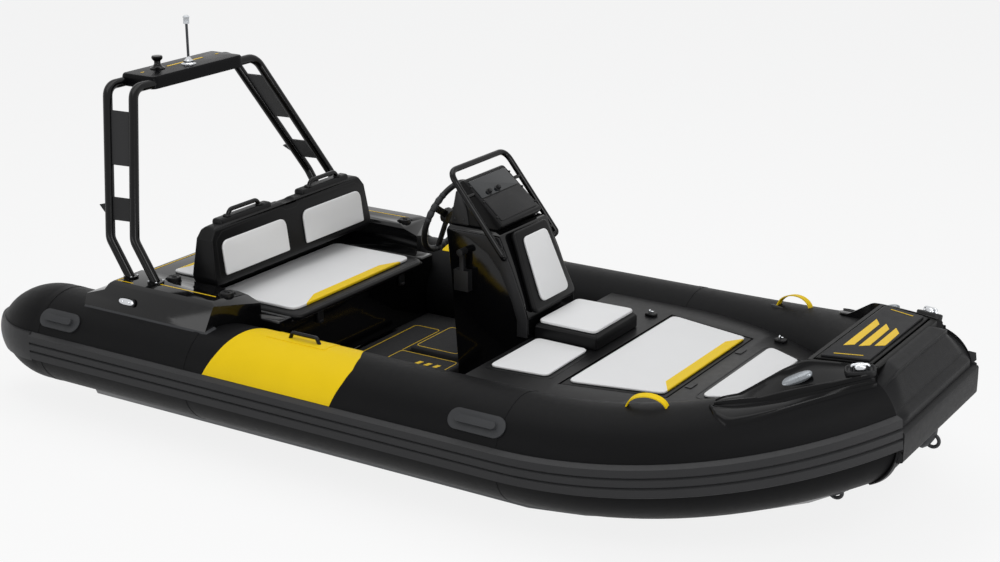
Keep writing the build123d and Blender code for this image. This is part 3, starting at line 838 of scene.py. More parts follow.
def softened(node: bpy.types.Object, body: str, width: float) -> bpy.types.Object:
    """Copy a moulded node with its edges rounded, and hide the node.

    Args:
        node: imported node.
        body: body it rides on.
        width: bevel width in metres.

    Returns:
        The copy.
    """
    mesh = node.data.copy()
    work = bmesh.new()
    work.from_mesh(mesh)
    bmesh.ops.remove_doubles(work, verts=work.verts, dist=WELD)
    if node.name in TRIMS:
        trimmed(work, TRIMS[node.name])
    bmesh.ops.dissolve_limit(work, angle_limit=FLAT_WITHIN, verts=work.verts, edges=work.edges)
    work.to_mesh(mesh)
    work.free()
    mesh.polygons.foreach_set("use_smooth", np.ones(len(mesh.polygons), bool))
    copy = added(f"{node.name}_moulded", mesh)
    bevel = copy.modifiers.new("soft_edge", "BEVEL")
    bevel.width = width
    bevel.segments = 3
    bevel.limit_method = "ANGLE"
    bevel.angle_limit = EDGE_BEYOND
    bevel.use_clamp_overlap = True
    bevel.harden_normals = True
    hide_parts(node.name)
    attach(copy, body)
    return copy


# ---------------------------------------------------------------- buoyancy tubes
@dataclass
class Tubes:
    """Fabric, panels and tapes on the buoyancy tubes, in metres.

    On the straight run the centre is (s, side * beam, height). Past the turn
    it follows (turn + R sin a, side * (beam - w cos t), height + w sin t), with
    w = R (1 - cos a), a = (s - turn) / R and t the tilt of the bend's plane.
    """

    radius: float = 0.212
    beam: float = 0.723
    height: float = 0.310
    turn: float = 0.650
    bend: float = 1.593
    tilt: float = radians(22.67)
    proud: float = 0.0012
    sunk: float = -0.0008
    aft: tuple[tuple[float, float], ...] = (
        (17.6, -0.770), (44, -0.730), (69, -0.700), (112, -0.655))
    fore: tuple[tuple[float, float], ...] = (
        (17.6, -0.120), (45, -0.090), (63, -0.080), (85, -0.100), (112, -0.155))
    patch: tuple[tuple[float, float], ...] = ((-0.570, -0.270), (83, 110), (0.0034, 0.0004))
    tapes: Triple = (-1.735, -0.90, 0.62)
    tape: float = 0.030

    def skin_at(self, side: int, s: Array, angle: Array, off: float) -> Array:
        """Points on the tube's skin.

        Args:
            side: -1 for starboard, 1 for port.
            s: stations along the tube.
            angle: turn up from the outward level direction, in radians.
            off: distance proud of the skin.

        Returns:
            Points with the shape of s and a last axis of 3.
        """
        a = np.maximum(s - self.turn, 0) / self.bend
        c, d = np.cos(self.tilt), np.sin(self.tilt)
        w = self.bend * (1 - np.cos(a))
        ahead = np.where(s > self.turn, self.turn + self.bend * np.sin(a), s)
        centre = np.stack([ahead, side * (self.beam - w * c), self.height + w * d], axis=-1)
        out = np.stack([np.sin(a), side * c * np.cos(a), -d * np.cos(a)], axis=-1)
        axis = np.stack([0 * a, side * d + 0 * a, c + 0 * a], axis=-1)
        across, up = c * out + d * axis, c * axis - d * out
        reach = (self.radius + off) * (np.cos(angle)[..., None] * across + np.sin(angle)[..., None] * up)
        return centre + reach

    def plate(self, side: int, s: Array, angle: Array) -> Surface:
        """Closed thin plate glued on the skin.

        Args:
            side: -1 for starboard, 1 for port.
            s: grid of stations.
            angle: grid of angles.

        Returns:
            Vertices and faces.
        """
        return slab(self.skin_at(side, s, angle, self.proud), self.skin_at(side, s, angle, self.sunk))

    def panel(self, side: int) -> Surface:
        """Yellow wrap over the tube: at each angle it runs between the stations of aft and fore.

        Args:
            side: -1 for starboard, 1 for port.

        Returns:
            Vertices and faces.
        """
        turn = np.linspace(17.8, 112.0, 40)
        aft, fore = (np.interp(turn, *zip(*table)) for table in (self.aft, self.fore))
        t = np.linspace(0, 1, 60)[:, None]
        s = aft[None, :] * (1 - t) + fore[None, :] * t
        return self.plate(side, s, np.broadcast_to(np.radians(turn), s.shape))

    def grip_patch(self, side: int) -> Surface:
        """Second yellow layer under the grip on top of the tube, its edge left showing.

        The fields of patch are its stations, its angles, and how far its two
        faces stand proud.

        Args:
            side: -1 for starboard, 1 for port.

        Returns:
            Vertices and faces.
        """
        stations, angles, faces = self.patch
        s, turn = np.meshgrid(np.linspace(*stations, 30), np.radians(np.linspace(*angles, 12)), indexing="ij")
        return slab(*(self.skin_at(side, s, turn, face) for face in faces))

    def ring(self, side: int, start: float) -> Surface:
        """Seam tape round the tube, from 75 degrees below level to 150 above.

        Args:
            side: -1 for starboard, 1 for port.
            start: station of its aft edge.

        Returns:
            Vertices and faces.
        """
        s = np.linspace(start, start + self.tape, 2)[:, None]
        turn = np.radians(np.linspace(-75, 150, 45))[None, :]
        return self.plate(side, *np.broadcast_arrays(s, turn))

    def make(self) -> None:
        """Build panels, patches and seam tapes."""
        for side, word in SIDES:
            tapes = join([self.ring(side, start) for start in self.tapes])
            make_all([
                Piece(f"tube_panel_{word}", Look.YELLOW, self.panel(side), "yellow_strap"),
                Piece(f"grip_patch_{word}", Look.YELLOW, self.grip_patch(side), "yellow_strap"),
                Piece(f"tube_tapes_{word}", Look.TUBE, tapes, "tube_fabric"),
            ])


def slab(outer: Array, inner: Array) -> Surface:
    """Closed solid between two grids of points, with walls round their rims.

    Args:
        outer: points shaped (rows, columns, 3).
        inner: as many points under them.

    Returns:
        Vertices and faces.
    """
    rows, cols = outer.shape[:2]
    index = np.arange(rows * cols).reshape(rows, cols)
    quads = np.stack([index[:-1, :-1], index[1:, :-1], index[1:, 1:], index[:-1, 1:]], -1).reshape(-1, 4)
    count = rows * cols
    rim = np.concatenate([index[:, 0], index[-1, 1:], index[-2::-1, -1], index[0, -2:0:-1]])
    follow = np.roll(rim, -1)
    wall = np.stack([rim, rim + count, follow + count, follow], -1)
    faces = [tuple(q) for q in np.concatenate([quads, quads[:, ::-1] + count, wall]).tolist()]
    return np.concatenate([outer.reshape(-1, 3), inner.reshape(-1, 3)]), faces


# ---------------------------------------------------------------- flat marks
def plate_on(corners: Outline, spot: Matrix, height: float = 0.0010, radius: float = 0.0,
             sink: float = 0.0004) -> Surface:
    """Thin plate with the given outline, lying on a plane.

    Args:
        corners: outline in the plane's own x and y.
        spot: the plane.
        height: how far it stands proud.
        radius: corner radius.
        sink: how far it reaches into the surface.

    Returns:
        Vertices and faces.
    """
    loop = np.array(corners, float)
    if radius:
        loop = rounded_outline(loop, radius, 5)
    return placed(skin(stacked([(loop, -sink), (loop, height)])), spot)


def line_on(first: tuple[float, float], last: tuple[float, float], spot: Matrix, width: float) -> Surface:
    """Thin straight stripe between two points of a plane.

    Args:
        first: where it starts.
        last: where it ends.
        spot: the plane.
        width: across the stripe.

    Returns:
        Vertices and faces.
    """
    a, b = np.array(first), np.array(last)
    across = np.array([-(b - a)[1], (b - a)[0]])
    across = across / np.linalg.norm(across) * width / 2
    return plate_on([a - across, b - across, b + across, a + across], spot)


def border_on(corners: Outline, spot: Matrix, radius: float, width: float = 0.003,
              count: int = 120) -> Surface:
    """Thin closed stripe along a rounded outline on a plane.

    Args:
        corners: outline in the plane's own x and y.
        spot: the plane.
        radius: corner radius.
        width: across the stripe.
        count: points along it.

    Returns:
        Vertices and faces.
    """
    loop = resample(rounded_outline(np.array(corners, float), radius), count)
    path = np.column_stack([loop, np.full(len(loop), -0.0003)])
    return placed(ribbon(path, width, 0.0012, np.array([0, 0, 1]), wrap=True), spot)


# ---------------------------------------------------------------- upholstery
@dataclass
class Upholstery:
    """White cushions of bench, stern deck, console and foredeck."""

    deck: float = 0.4784
    bench: float = 0.5153
    stern: float = 0.5904
    seat: float = 0.5454
    tilt: float = radians(7.9)

    def flat(self) -> list[Cushion]:
        """Cushions that lie level on the bench and decks."""
        heights = (self.bench, self.stern, self.seat, self.deck)
        bench, stern, seat, deck = (seat_at((0, 0, z)) for z in heights)
        return [
            Cushion("bench_pad", "bench_cushion", "bench_lid", mirrored([(-1.116, 0.425), (-0.682, 0.425)]),
                    0.014, 0.005, 0.045, bench, Stripe(-0.682, 0.044, 0.345, slant=2.4)),
            Cushion("stern_pad", "stern_cushion", "boat", mirrored([(-1.322, 0.47), (-1.19, 0.47)]),
                    0.012, 0.005, 0.022, stern, Stripe(-1.322, 0.030, 0.455, -1.0, 2.0)),
            Cushion("seat_pad", "seat_cushion", "boat",
                    [(0.312, 0.246), (0.584, 0.252), (0.584, -0.080), (0.312, -0.076)],
                    0.014, 0.005, 0.028, seat),
            Cushion("side_pad", "side_cushion", "boat",
                    [(0.322, -0.094), (0.566, -0.102), (0.574, -0.437), (0.322, -0.461)],
                    0.010, 0.005, 0.028, deck),
            Cushion("bow_pad", "bow_cushion", "boat", mirrored([(1.175, 0.314), (1.335, 0.231)]),
                    0.010, 0.005, 0.026, deck),
            Cushion("locker_pad", "locker_cushion", "locker_lid", mirrored([(0.669, 0.444), (1.046, 0.360)]),
                    0.010, 0.005, 0.028, deck, Stripe(1.046, 0.046, 0.335, slant=1.6)),
        ]

    def backrest(self) -> list[Cushion]:
        """Two cushions on the leaning backrest."""
        rest = seat_at((-1.0120, 0, 0.712), (0, 1, 0), (np.cos(self.tilt), 0, np.sin(self.tilt)))
        return [Cushion(f"backrest_pad_{word}", "backrest_pads", "boat",
                        box(side * 0.275 - 0.214, -0.075, side * 0.275 + 0.214, 0.075), 0.011, 0.004,
                        [0.006, 0.006, 0.042, 0.042], rest) for side, word in SIDES]

    def console(self) -> Cushion:
        """Cushion on the console's front, a little narrower at its top."""
        lean = seat_at((0.218, 0.078, 0.7335), (0, 1, 0), (0.335, 0, 0.136))
        lean.translation += lean.to_3x3() @ Vector((0, 0, 0.0309))
        wide, slim, half = 0.109, 0.0897, 0.138
        corners = [(-wide, -half), (wide, -half), (slim, half), (-slim, half)]
        return Cushion("console_pad", "console_back_pad", "boat", corners, 0.011, 0.004, 0.030, lean)

    def make(self) -> None:
        """Build every cushion."""
        for cushion in (*self.flat(), *self.backrest(), self.console()):
            cushion.make()


# ---------------------------------------------------------------- stern: pods, deck, bench
@dataclass
class Stern:
    """Marks, caps and trim on the stern deck, side pods, bench and backrest."""

    pod_top: float = 0.620
    deck: float = 0.590
    bench: float = 0.515
    tilt: float = radians(7.9)
    caps: tuple[tuple[float, float], ...] = ((-1.196, 0.600), (-0.865, 0.640))
    vent: tuple[Triple, ...] = ((-1.290, 0.7995, 0.5556), (1, 0, 0), (0, 0.93, 0.367))
    skirt: tuple[Triple, ...] = ((-1.524, 0.812, 0.497), (-0.852, 0.812, 0.497), (-0.838, 0.806, 0.502),
                                 (-0.820, 0.770, 0.517))
    latch: float = 0.30
    rail: tuple[Triple, ...] = ((-1.066, 0.172, 0.862), (-1.066, 0.190, 0.893), (-1.066, 0.370, 0.893),
                                (-1.066, 0.388, 0.862))
    rail_radius: float = 0.0098
    rail_foot: float = 0.8690

    def lines(self) -> Surface:
        """Thin yellow lines on both pods and along the stern deck's rear edge."""
        top, deck = seat_at((0, 0, self.pod_top)), seat_at((0, 0, self.deck))
        parts = [line_on((x, side * y), (ahead, side * inner), top, 0.0055) for side in (-1, 1)
                 for x, y, ahead, inner in ((-1.210, 0.690, -0.882, 0.692), (-1.392, 0.742, -1.300, 0.742),
                                            (-1.392, 0.745, -1.384, 0.700))]
        return join(parts + [line_on((-1.426, -0.535), (-1.426, 0.535), deck, 0.007)])

    def cap_rings(self) -> Surface:
        """Raised rim with a slotted face on each filler and deck cap."""
        parts = []
        rim = [(0.0, 0.0), (0.029, 0.0), (0.029, 0.002), (0.027, 0.0036), (0.0235, 0.0036), (0.022, 0.0018),
               (0.011, 0.0018), (0.0095, 0.0042), (0.0, 0.0042)]
        for side in (-1, 1):
            for x, y in self.caps:
                parts += [lathe(rim, seat_on(side, (x, y, self.pod_top + 0.0070)), 36),
                          pillow_box((0.030, 0.005, 0.004), seat_on(side, (x, y, self.pod_top + 0.0118)))]
        return join(parts)

    def flanks(self) -> Surface:
        """Bright oval vents with two bolts on the pods' outer sides."""
        parts = []
        for side in (-1, 1):
            spot = seat_on(side, *self.vent)
            parts.append(pillow_box((0.088, 0.028, 0.008), spot, 2.6))
            parts += [lathe([(0, 0), (0.005, 0), (0.005, 0.002), (0, 0.003)], spot @ offset(x, 0, 0.004), 16)
                      for x in (-0.018, 0.018)]
        return join(parts)

    def skirts(self) -> Surface:
        """Rubber flange where each pod meets its tube."""
        return join([ribbon(np.array(self.skirt) * (1, side, 1), 0.016, 0.006,
                            np.array([0, side * 0.75, 0.66])) for side in (-1, 1)])

    def latches(self) -> Surface:
        """Rubber pull latches under the bench lid's front edge."""
        parts = []
        for y in (-self.latch, self.latch):
            parts += [pillow_box((0.012, 0.040, 0.058), seat_at((-0.648, y, 0.462)), 6),
                      pillow_box((0.014, 0.026, 0.012), seat_at((-0.642, y, 0.440)), 4)]
        return join(parts)

    def seams(self) -> Surface:
        """Piping round the backrest's front face."""
        face = seat_at((-1.0158, 0, 0.722), (0, 1, 0), (np.cos(self.tilt), 0, np.sin(self.tilt)))
        outline = [(-0.520, -0.100), (0.520, -0.100), (0.512, 0.070), (0.470, 0.103), (0.070, 0.112),
                   (0.035, 0.092), (-0.035, 0.092), (-0.070, 0.112), (-0.470, 0.103), (-0.512, 0.070)]
        loop = resample(rounded_outline(np.array(outline), 0.018, 4), 200)
        path = np.column_stack([loop, np.full(len(loop), -0.0015)])
        return placed(ribbon(path, 0.004, 0.0035, np.array([0, 0, 1]), wrap=True), face)

    def lid(self) -> Surface:
        """Bench lid with rounded front corners and a rolled front lip."""
        levels = [(0.008, 0.4955), (0.002, 0.4965), (0.0, 0.499), (0.0005, 0.506), (0.003, 0.511),
                  (0.008, 0.514), (0.016, self.bench)]
        lip = bent_path([(-0.700, -0.456, 0.5000), (-0.642, -0.456, 0.5000), (-0.642, 0.456, 0.5000),
                         (-0.700, 0.456, 0.5000)], 0.050, 13)
        board = raised(box(-1.124, -0.470, -0.636, 0.470), [0.006, 0.060, 0.060, 0.006], levels, Matrix())
        return join([board, tube_along(lip, 0.0130)])

    def shoulders(self) -> Surface:
        """Raised caps on the backrest's top, either side of its dip."""
        levels = [(0.0, 0.842), (0.0, 0.856), (0.003, 0.864), (0.009, 0.8675), (0.016, 0.868)]
        return join([raised(box(-1.100, side * 0.105, -1.046, side * 0.455), 0.018, levels, Matrix())
                     for side in (-1, 1)])

    def handles(self) -> Surface:
        """Hand rails on the backrest's top."""
        parts = []
        for side in (-1, 1):
            path = bent_path([(x, side * y, z) for x, y, z in self.rail], 0.018)
            parts.append(tube_along(path, self.rail_radius))
            parts += [pillow_box((0.034, 0.034, 0.016), seat_on(side, (x, y, self.rail_foot)), 3.0)
                      for x, y, _ in (self.rail[0], self.rail[-1])]
        return join(parts)

    def make(self) -> None:
        """Build the stern's trim."""
        make_all([
            Piece("bench_lid_moulded", Look.SATIN, self.lid(), "moulding_black", "bench_lid", "bench_lid"),
            Piece("backrest_rails", Look.PAINT, self.handles(), "tube_paint", "backrest_handles", smooth=60),
            Piece("backrest_shoulders", Look.SATIN, self.shoulders(), "moulding_black"),
            Piece("stern_lines", Look.LINE, self.lines(), "yellow_strap"),
            Piece("pod_cap_rims", Look.PLASTIC, self.cap_rings(), "cap_plastic"),
            Piece("pod_vents", Look.STEEL, self.flanks(), "bright_steel"),
            Piece("pod_skirts", Look.RUBBER, self.skirts(), "trim_rubber"),
            Piece("bench_latches", Look.PLASTIC, self.latches(), "trim_rubber"),
            Piece("backrest_piping", Look.TAPE, self.seams(), "moulding_black"),
        ])


# ---------------------------------------------------------------- arch
@dataclass
class Arch:
    """Stripes, lamp lens and bolts on the arch."""

    roof: float = 1.4075
    mast: float = -1.590
    line: float = -1.640
    bollard_at: float = -0.150
    feet: tuple[tuple[float, float], ...] = ((-1.225, 0.0295), (-1.368, 0.0265))
    foot: tuple[float, float] = (0.682, 0.6284)

    def stripes(self) -> Surface:
        """Yellow stripes along the roof's top."""
        spot = seat_at((0, 0, self.roof))
        return join([line_on((self.line, low), (self.line, high), spot, width) for low, high, width in
                     ((-0.090, 0.150, 0.011), (-0.258, -0.238, 0.007), (0.238, 0.258, 0.007))])

    def fairing(self) -> Surface:
        """Shallow roof box round both cross tubes, with a soft upper edge."""
        levels = [(0.010, 1.3495), (0.003, 1.3510), (0.0, 1.3540), (0.001, 1.3900), (0.004, 1.4010),
                  (0.009, 1.4060), (0.016, self.roof)]
        return raised(box(-1.724, -0.306, -1.523, 0.306), 0.030, levels, Matrix())

    def lamp(self) -> Surface:
        """Clear all-round lamp with a cap on the mast, turned from a profile."""
        profile = [(0, 0), (0.0145, 0), (0.0145, 0.003), (0.0135, 0.005), (0.0135, 0.024), (0.0150, 0.026),
                   (0.0150, 0.031), (0.010, 0.036), (0, 0.037)]
        return lathe(profile, seat_at((self.mast, 0, self.roof + 0.1855)), 32)

    def base(self) -> Surface:
        """Base flange of the mast."""
        profile = [(0, 0), (0.034, 0), (0.034, 0.003), (0.026, 0.006), (0.018, 0.018), (0.010, 0.028),
                   (0.0075, 0.034), (0, 0.034)]
        return lathe(profile, seat_at((self.mast, 0, self.roof + 0.0006)), 40)

    def bollard(self) -> Surface:
        """Waisted post of the tow bollard."""
        profile = [(0, 0), (0.034, 0), (0.034, 0.004), (0.022, 0.010), (0.0145, 0.022), (0.0145, 0.034),
                   (0.024, 0.044), (0.0255, 0.052), (0.022, 0.058), (0, 0.0595)]
        return lathe(profile, seat_at((self.line, self.bollard_at, self.roof + 0.0006)), 40)

    def bolts(self) -> Surface:
        """Bolt heads on the arch's foot plates, four on a circle in each."""
        head = [(0, 0), (0.0052, 0), (0.0052, 0.0022), (0.0035, 0.0034), (0, 0.0036)]
        y, top = self.foot
        spots = [(x + radius * np.cos(turn), side * y + radius * np.sin(turn), top)
                 for x, radius in self.feet for side in (-1, 1) for turn in np.radians((45, 135, 225, 315))]
        return join([lathe(head, seat_at(spot), 12) for spot in spots])

    def make(self) -> None:
        """Build the arch's trim."""
        make_all([
            Piece("roof_box", Look.ROOF, self.fairing(), "tube_paint", "arch_roof", smooth=30),
            Piece("roof_stripes", Look.LINE, self.stripes(), "yellow_strap"),
            Piece("mast_lamp", Look.LENS, self.lamp(), "bright_steel"),
            Piece("mast_base", Look.STEEL, self.base(), "bright_steel"),
            Piece("bollard_waist", Look.PAINT, self.bollard(), "tube_paint"),
            Piece("arch_bolts", Look.STEEL, self.bolts(), "bright_steel"),
        ])


# ---------------------------------------------------------------- helm
@dataclass
class Helm:
    """Screen, knobs, gauges, switches, grab rail, side plates and wheel grips."""

    dash: Triple = (0.047, 0.077, 1.016)
    normal: Triple = (0.6508, 0.0, 0.7593)
    wheel: Triple = (-0.235, 0.080, 0.880)
    rim: float = 0.160
    tilt: float = radians(20)
    rail_sides: tuple[float, float] = (-0.134, 0.289)
    rail_radius: float = 0.0128
    walls: tuple[float, float] = (-0.0788, 0.2328)
    back: tuple[Triple, ...] = ((-0.0970, 0.077, 0.994), (0, -1, 0), (-0.973, 0, 0.231))
    gauge_row: Triple = (-0.095, 0.0, 0.095)

    def front(self) -> Matrix:
        """Plane of the sloping front: x to port, y up the slope."""
        return seat_at(self.dash, (0, 1, 0), self.normal)

    def knobs(self) -> Surface:
        """Two low knobs over the seam of the sloping front, and small bolts beside it."""
        knob = [(0, 0), (0.015, 0), (0.015, 0.004), (0.011, 0.006), (0.010, 0.015), (0.008, 0.018),
                (0, 0.0185)]
        bolt = [(0, 0), (0.005, 0), (0.005, 0.003), (0.0035, 0.0045), (0, 0.005)]
        front = self.front()
        return join([lathe(knob, front @ offset(x, 0.034, 0.001), 28) for x in (-0.072, -0.005)]
                    + [lathe(bolt, front @ offset(side * 0.148, y, 0.001), 14)
                       for side in (-1, 1) for y in (-0.085, 0.0, 0.085)])

    def field(self, low: float, high: float) -> Surface:
        """Raised field across the sloping front, between two heights."""
        levels = [(0.0, -0.0006), (0.0, 0.0020), (0.0012, 0.0032), (0.0030, 0.0036)]
        return raised(box(-0.139, low, 0.139, high), 0.006, levels, self.front())

    def rail(self) -> Surface:
        """Grab rail round the instrument box, its ends turned in to the console's sides."""
        low, high = self.rail_sides
        path = bent_path([(0.168, low + 0.024, 0.806), (0.182, low, 0.818), (-0.080, low, 1.143),
                          (-0.080, high, 1.143), (0.182, high, 0.818), (0.168, high - 0.024, 0.806)], 0.014)
        wide = bent_path([(0.166, low, 0.838), (-0.080, low, 1.143), (-0.080, high, 1.143),
                          (0.166, high, 0.838)], 0.052, 15)
        stays = ((0.160, 0.845, 0.009, low, -0.112), (0.160, 0.845, 0.009, high, 0.267),
                 (0.0, 1.044, 0.008, low, -0.078), (0.0, 1.044, 0.008, high, 0.232))
        return join([tube_along(np.concatenate([path[:10], wide[1:-1], path[-10:]]), self.rail_radius)]
                    + [tube_along(np.linspace((x, y, z), (x, wall, z), 5), radius)
                       for x, z, radius, y, wall in stays])

    def gussets(self) -> Surface:
        """Side plates that carry the instrument box, each with two screws."""
        parts = []
        plate = [(-0.112, 0.908), (-0.020, 0.908), (-0.030, 0.972), (-0.058, 1.050), (-0.082, 1.050)]
        head = [(0, 0), (0.0055, 0), (0.0055, 0.002), (0.004, 0.0035), (0, 0.004)]
        for side, wall in zip((-1, 1), self.walls):
            spot = seat_at((0, wall, 0), (1, 0, 0), (0, side, 0))
            parts.append(raised([(x, -side * z) for x, z in plate], 0.008,
                                [(0.0, -0.001), (0.0, 0.003), (0.002, 0.0045)], spot))
            parts += [lathe(head, spot @ offset(x, -side * 0.930, 0.0040), 16) for x in (-0.088, -0.045)]
        return join(parts)

    def gauges(self) -> list[Piece]:
        """Round gauges, their glasses and a switch row, facing the helm."""
        back = seat_at(*self.back)
        bezel = [(0.0, 0.0), (0.036, 0.0), (0.036, 0.004), (0.033, 0.007), (0.030, 0.007), (0.029, 0.0035),
                 (0.0, 0.0035)]
        pane = [(0, 0), (0.0288, 0), (0.0288, 0.001), (0, 0.0024)]
        rims = join([lathe(bezel, back @ offset(x, 0.010, -0.0006), 40) for x in self.gauge_row])
        panes = join([lathe(pane, back @ offset(x, 0.010, 0.0030), 40) for x in self.gauge_row])
        keys = join([pillow_box((0.020, 0.012, 0.008), back @ offset(-0.075 + 0.030 * i, -0.055, 0.003), 4)
                     for i in range(6)])
        return [Piece("gauge_rims", Look.STEEL, rims, "bright_steel"),
                Piece("gauge_glasses", Look.SCREEN, panes, "panel_grey"),
                Piece("switch_row", Look.PLASTIC, keys, "cap_plastic")]

    def grip(self, plane: Matrix, middle: float) -> Surface:
        """Ribbed sleeve on the wheel's rim.

        Its radius is r + h cos(30 (a - middle)) at each angle a of the rim.

        Args:
            plane: the wheel's plane.
            middle: angle of its middle, in radians.

        Returns:
            Vertices and faces.
        """
        arc = np.linspace(middle - 0.42, middle + 0.42, 25)
        swell = 0.0140 + 0.0012 * np.cos((arc - middle) * 30)
        swell[[0, -1]] = 0.0128
        around = np.linspace(0, 2 * np.pi, 20, endpoint=False)
        reach = self.rim + swell[:, None] * np.cos(around)[None, :]
        rings = np.stack([reach * np.cos(arc)[:, None], reach * np.sin(arc)[:, None],
                          swell[:, None] * np.sin(around)[None, :]], axis=-1)
        return placed(skin(rings), plane)

    def wheel_parts(self) -> list[Piece]:
        """Hub cap and three finger grips on the wheel."""
        plane = seat_at(self.wheel, (0, 1, 0), (-np.cos(self.tilt), 0, np.sin(self.tilt)))
        cap = [(0, 0), (0.030, 0), (0.031, 0.004), (0.027, 0.009), (0.016, 0.012), (0, 0.0125)]
        hub = lathe(cap, plane @ offset(0, 0, 0.0125), 36)
        grips = join([self.grip(plane, radians(angle)) for angle in (90, 210, 330)])
        return [Piece("wheel_hub_cap", Look.PANEL, hub, "cap_plastic", body="steering_wheel"),
                Piece("wheel_grips", Look.RUBBER, grips, "cap_plastic", body="steering_wheel")]

    def make(self) -> None:
        """Build the helm's parts."""
        make_all([
            Piece("rail_tube", Look.PAINT, self.rail(), "tube_paint", "grab_rail", smooth=60),
            Piece("dash_knobs", Look.PLASTIC, self.knobs(), "cap_plastic"),
            Piece("dash_field_upper", Look.SCREEN, self.field(0.019, 0.110), "panel_grey"),
            Piece("dash_field_lower", Look.PLASTIC, self.field(-0.106, 0.013), "panel_grey"),
            Piece("dash_gussets", Look.PANEL, self.gussets(), "panel_grey"),
            *self.gauges(),
            *self.wheel_parts(),
        ])


# ---------------------------------------------------------------- decks and mats
@dataclass
class Deck:
    """Yellow marks, pad welts, hinge leaves and catches on the decks."""

    deck: float = 0.478
    hatch: float = 0.748
    mats: Triple = (0.306, 0.286, 0.252)
    catch_at: tuple[tuple[float, float], ...] = ((0.577, 0.415), (1.178, 0.410))
    hinge_at: tuple[float, float] = (-0.22, 0.22)

    def hatch_marks(self) -> Surface:
        """Three slanted bars and two thin lines on the bow hatch."""
        spot = seat_at((0, 0, self.hatch))
        bars = ((1.680, -0.186, 0.146), (1.731, -0.165, 0.113), (1.779, -0.135, 0.089))
        return join([plate_on([(x, low), (x + 0.032, low + 0.026), (x + 0.028, high - 0.050),
                               (x - 0.003, high)], spot) for x, low, high in bars]
                    + [line_on((1.682, side * 0.281), (1.782, side * 0.250), spot, 0.0045)
                       for side in (-1, 1)])

    def mat_marks(self) -> Surface:
        """Yellow border lines and small bars on the cockpit mats."""
        upper, lower, flat = (seat_at((0, 0, z)) for z in self.mats)
        parts = [border_on(box(*sides), spot, 0.020) for sides, spot in
                 (((-0.335, -0.032, -0.125, 0.240), upper), ((-0.384, -0.284, -0.090, -0.072), lower),
                  ((-0.572, -0.305, -0.438, 0.305), flat))]
        return join(parts + [plate_on([(x - 0.012, -0.180), (x + 0.008, -0.180), (x + 0.016, -0.140),
                                       (x - 0.004, -0.140)], lower)
                             for x in (-0.235 + 0.045 * i for i in range(3))])

    def catches(self) -> list[Piece]:
        """Black bases and bright hooks of the two catches beside the foredeck lid."""
        spots = [seat_at((x, y, self.deck)) for x, y in self.catch_at]
        bases = [pillow_box((0.052, 0.036, 0.016), spot @ offset(0, 0, 0.006), 4) for spot in spots]
        hooks = [pillow_box(size, spot @ offset(0, y, z), 3) for spot in spots for size, y, z in
                 (((0.010, 0.014, 0.026), -0.012, 0.018), ((0.020, 0.010, 0.006), 0.004, 0.017))]
        return [Piece("deck_catch_bases", Look.PLASTIC, join(bases), "cap_plastic"),
                Piece("deck_catch_hooks", Look.STEEL, join(hooks), "bright_steel")]

    def welts(self) -> Surface:
        """Low moulded edges round the fixed pads of the foredeck."""
        spot = seat_at((0, 0, self.deck))
        side = [(0.300, -0.074), (0.585, -0.082), (0.594, -0.455), (0.300, -0.480)]
        bow = mirrored([(1.150, 0.338), (1.350, 0.247)])
        return join([border_on(corners, spot, 0.036, 0.006) for corners in (side, bow)])

    def hinges(self) -> Surface:
        """Hinge leaves fixed ahead of the foredeck lid."""
        spot = seat_at((0, 0, self.deck))
        return join([plate_on(box(1.073, y - 0.03, 1.103, y + 0.03), spot, 0.0024, 0.006)
                     for y in self.hinge_at])

    def make(self) -> None:
        """Build the decks' marks and catches."""
        make_all([
            Piece("hatch_marks", Look.LINE, self.hatch_marks(), "yellow_strap", body="bow_hatch"),
            Piece("mat_marks", Look.LINE, self.mat_marks(), "yellow_strap"),
            *self.catches(),
            Piece("deck_welts", Look.SATIN, self.welts(), "moulding_black"),
            Piece("lid_hinge_leaves", Look.PLASTIC, self.hinges(), "cap_plastic"),
        ])


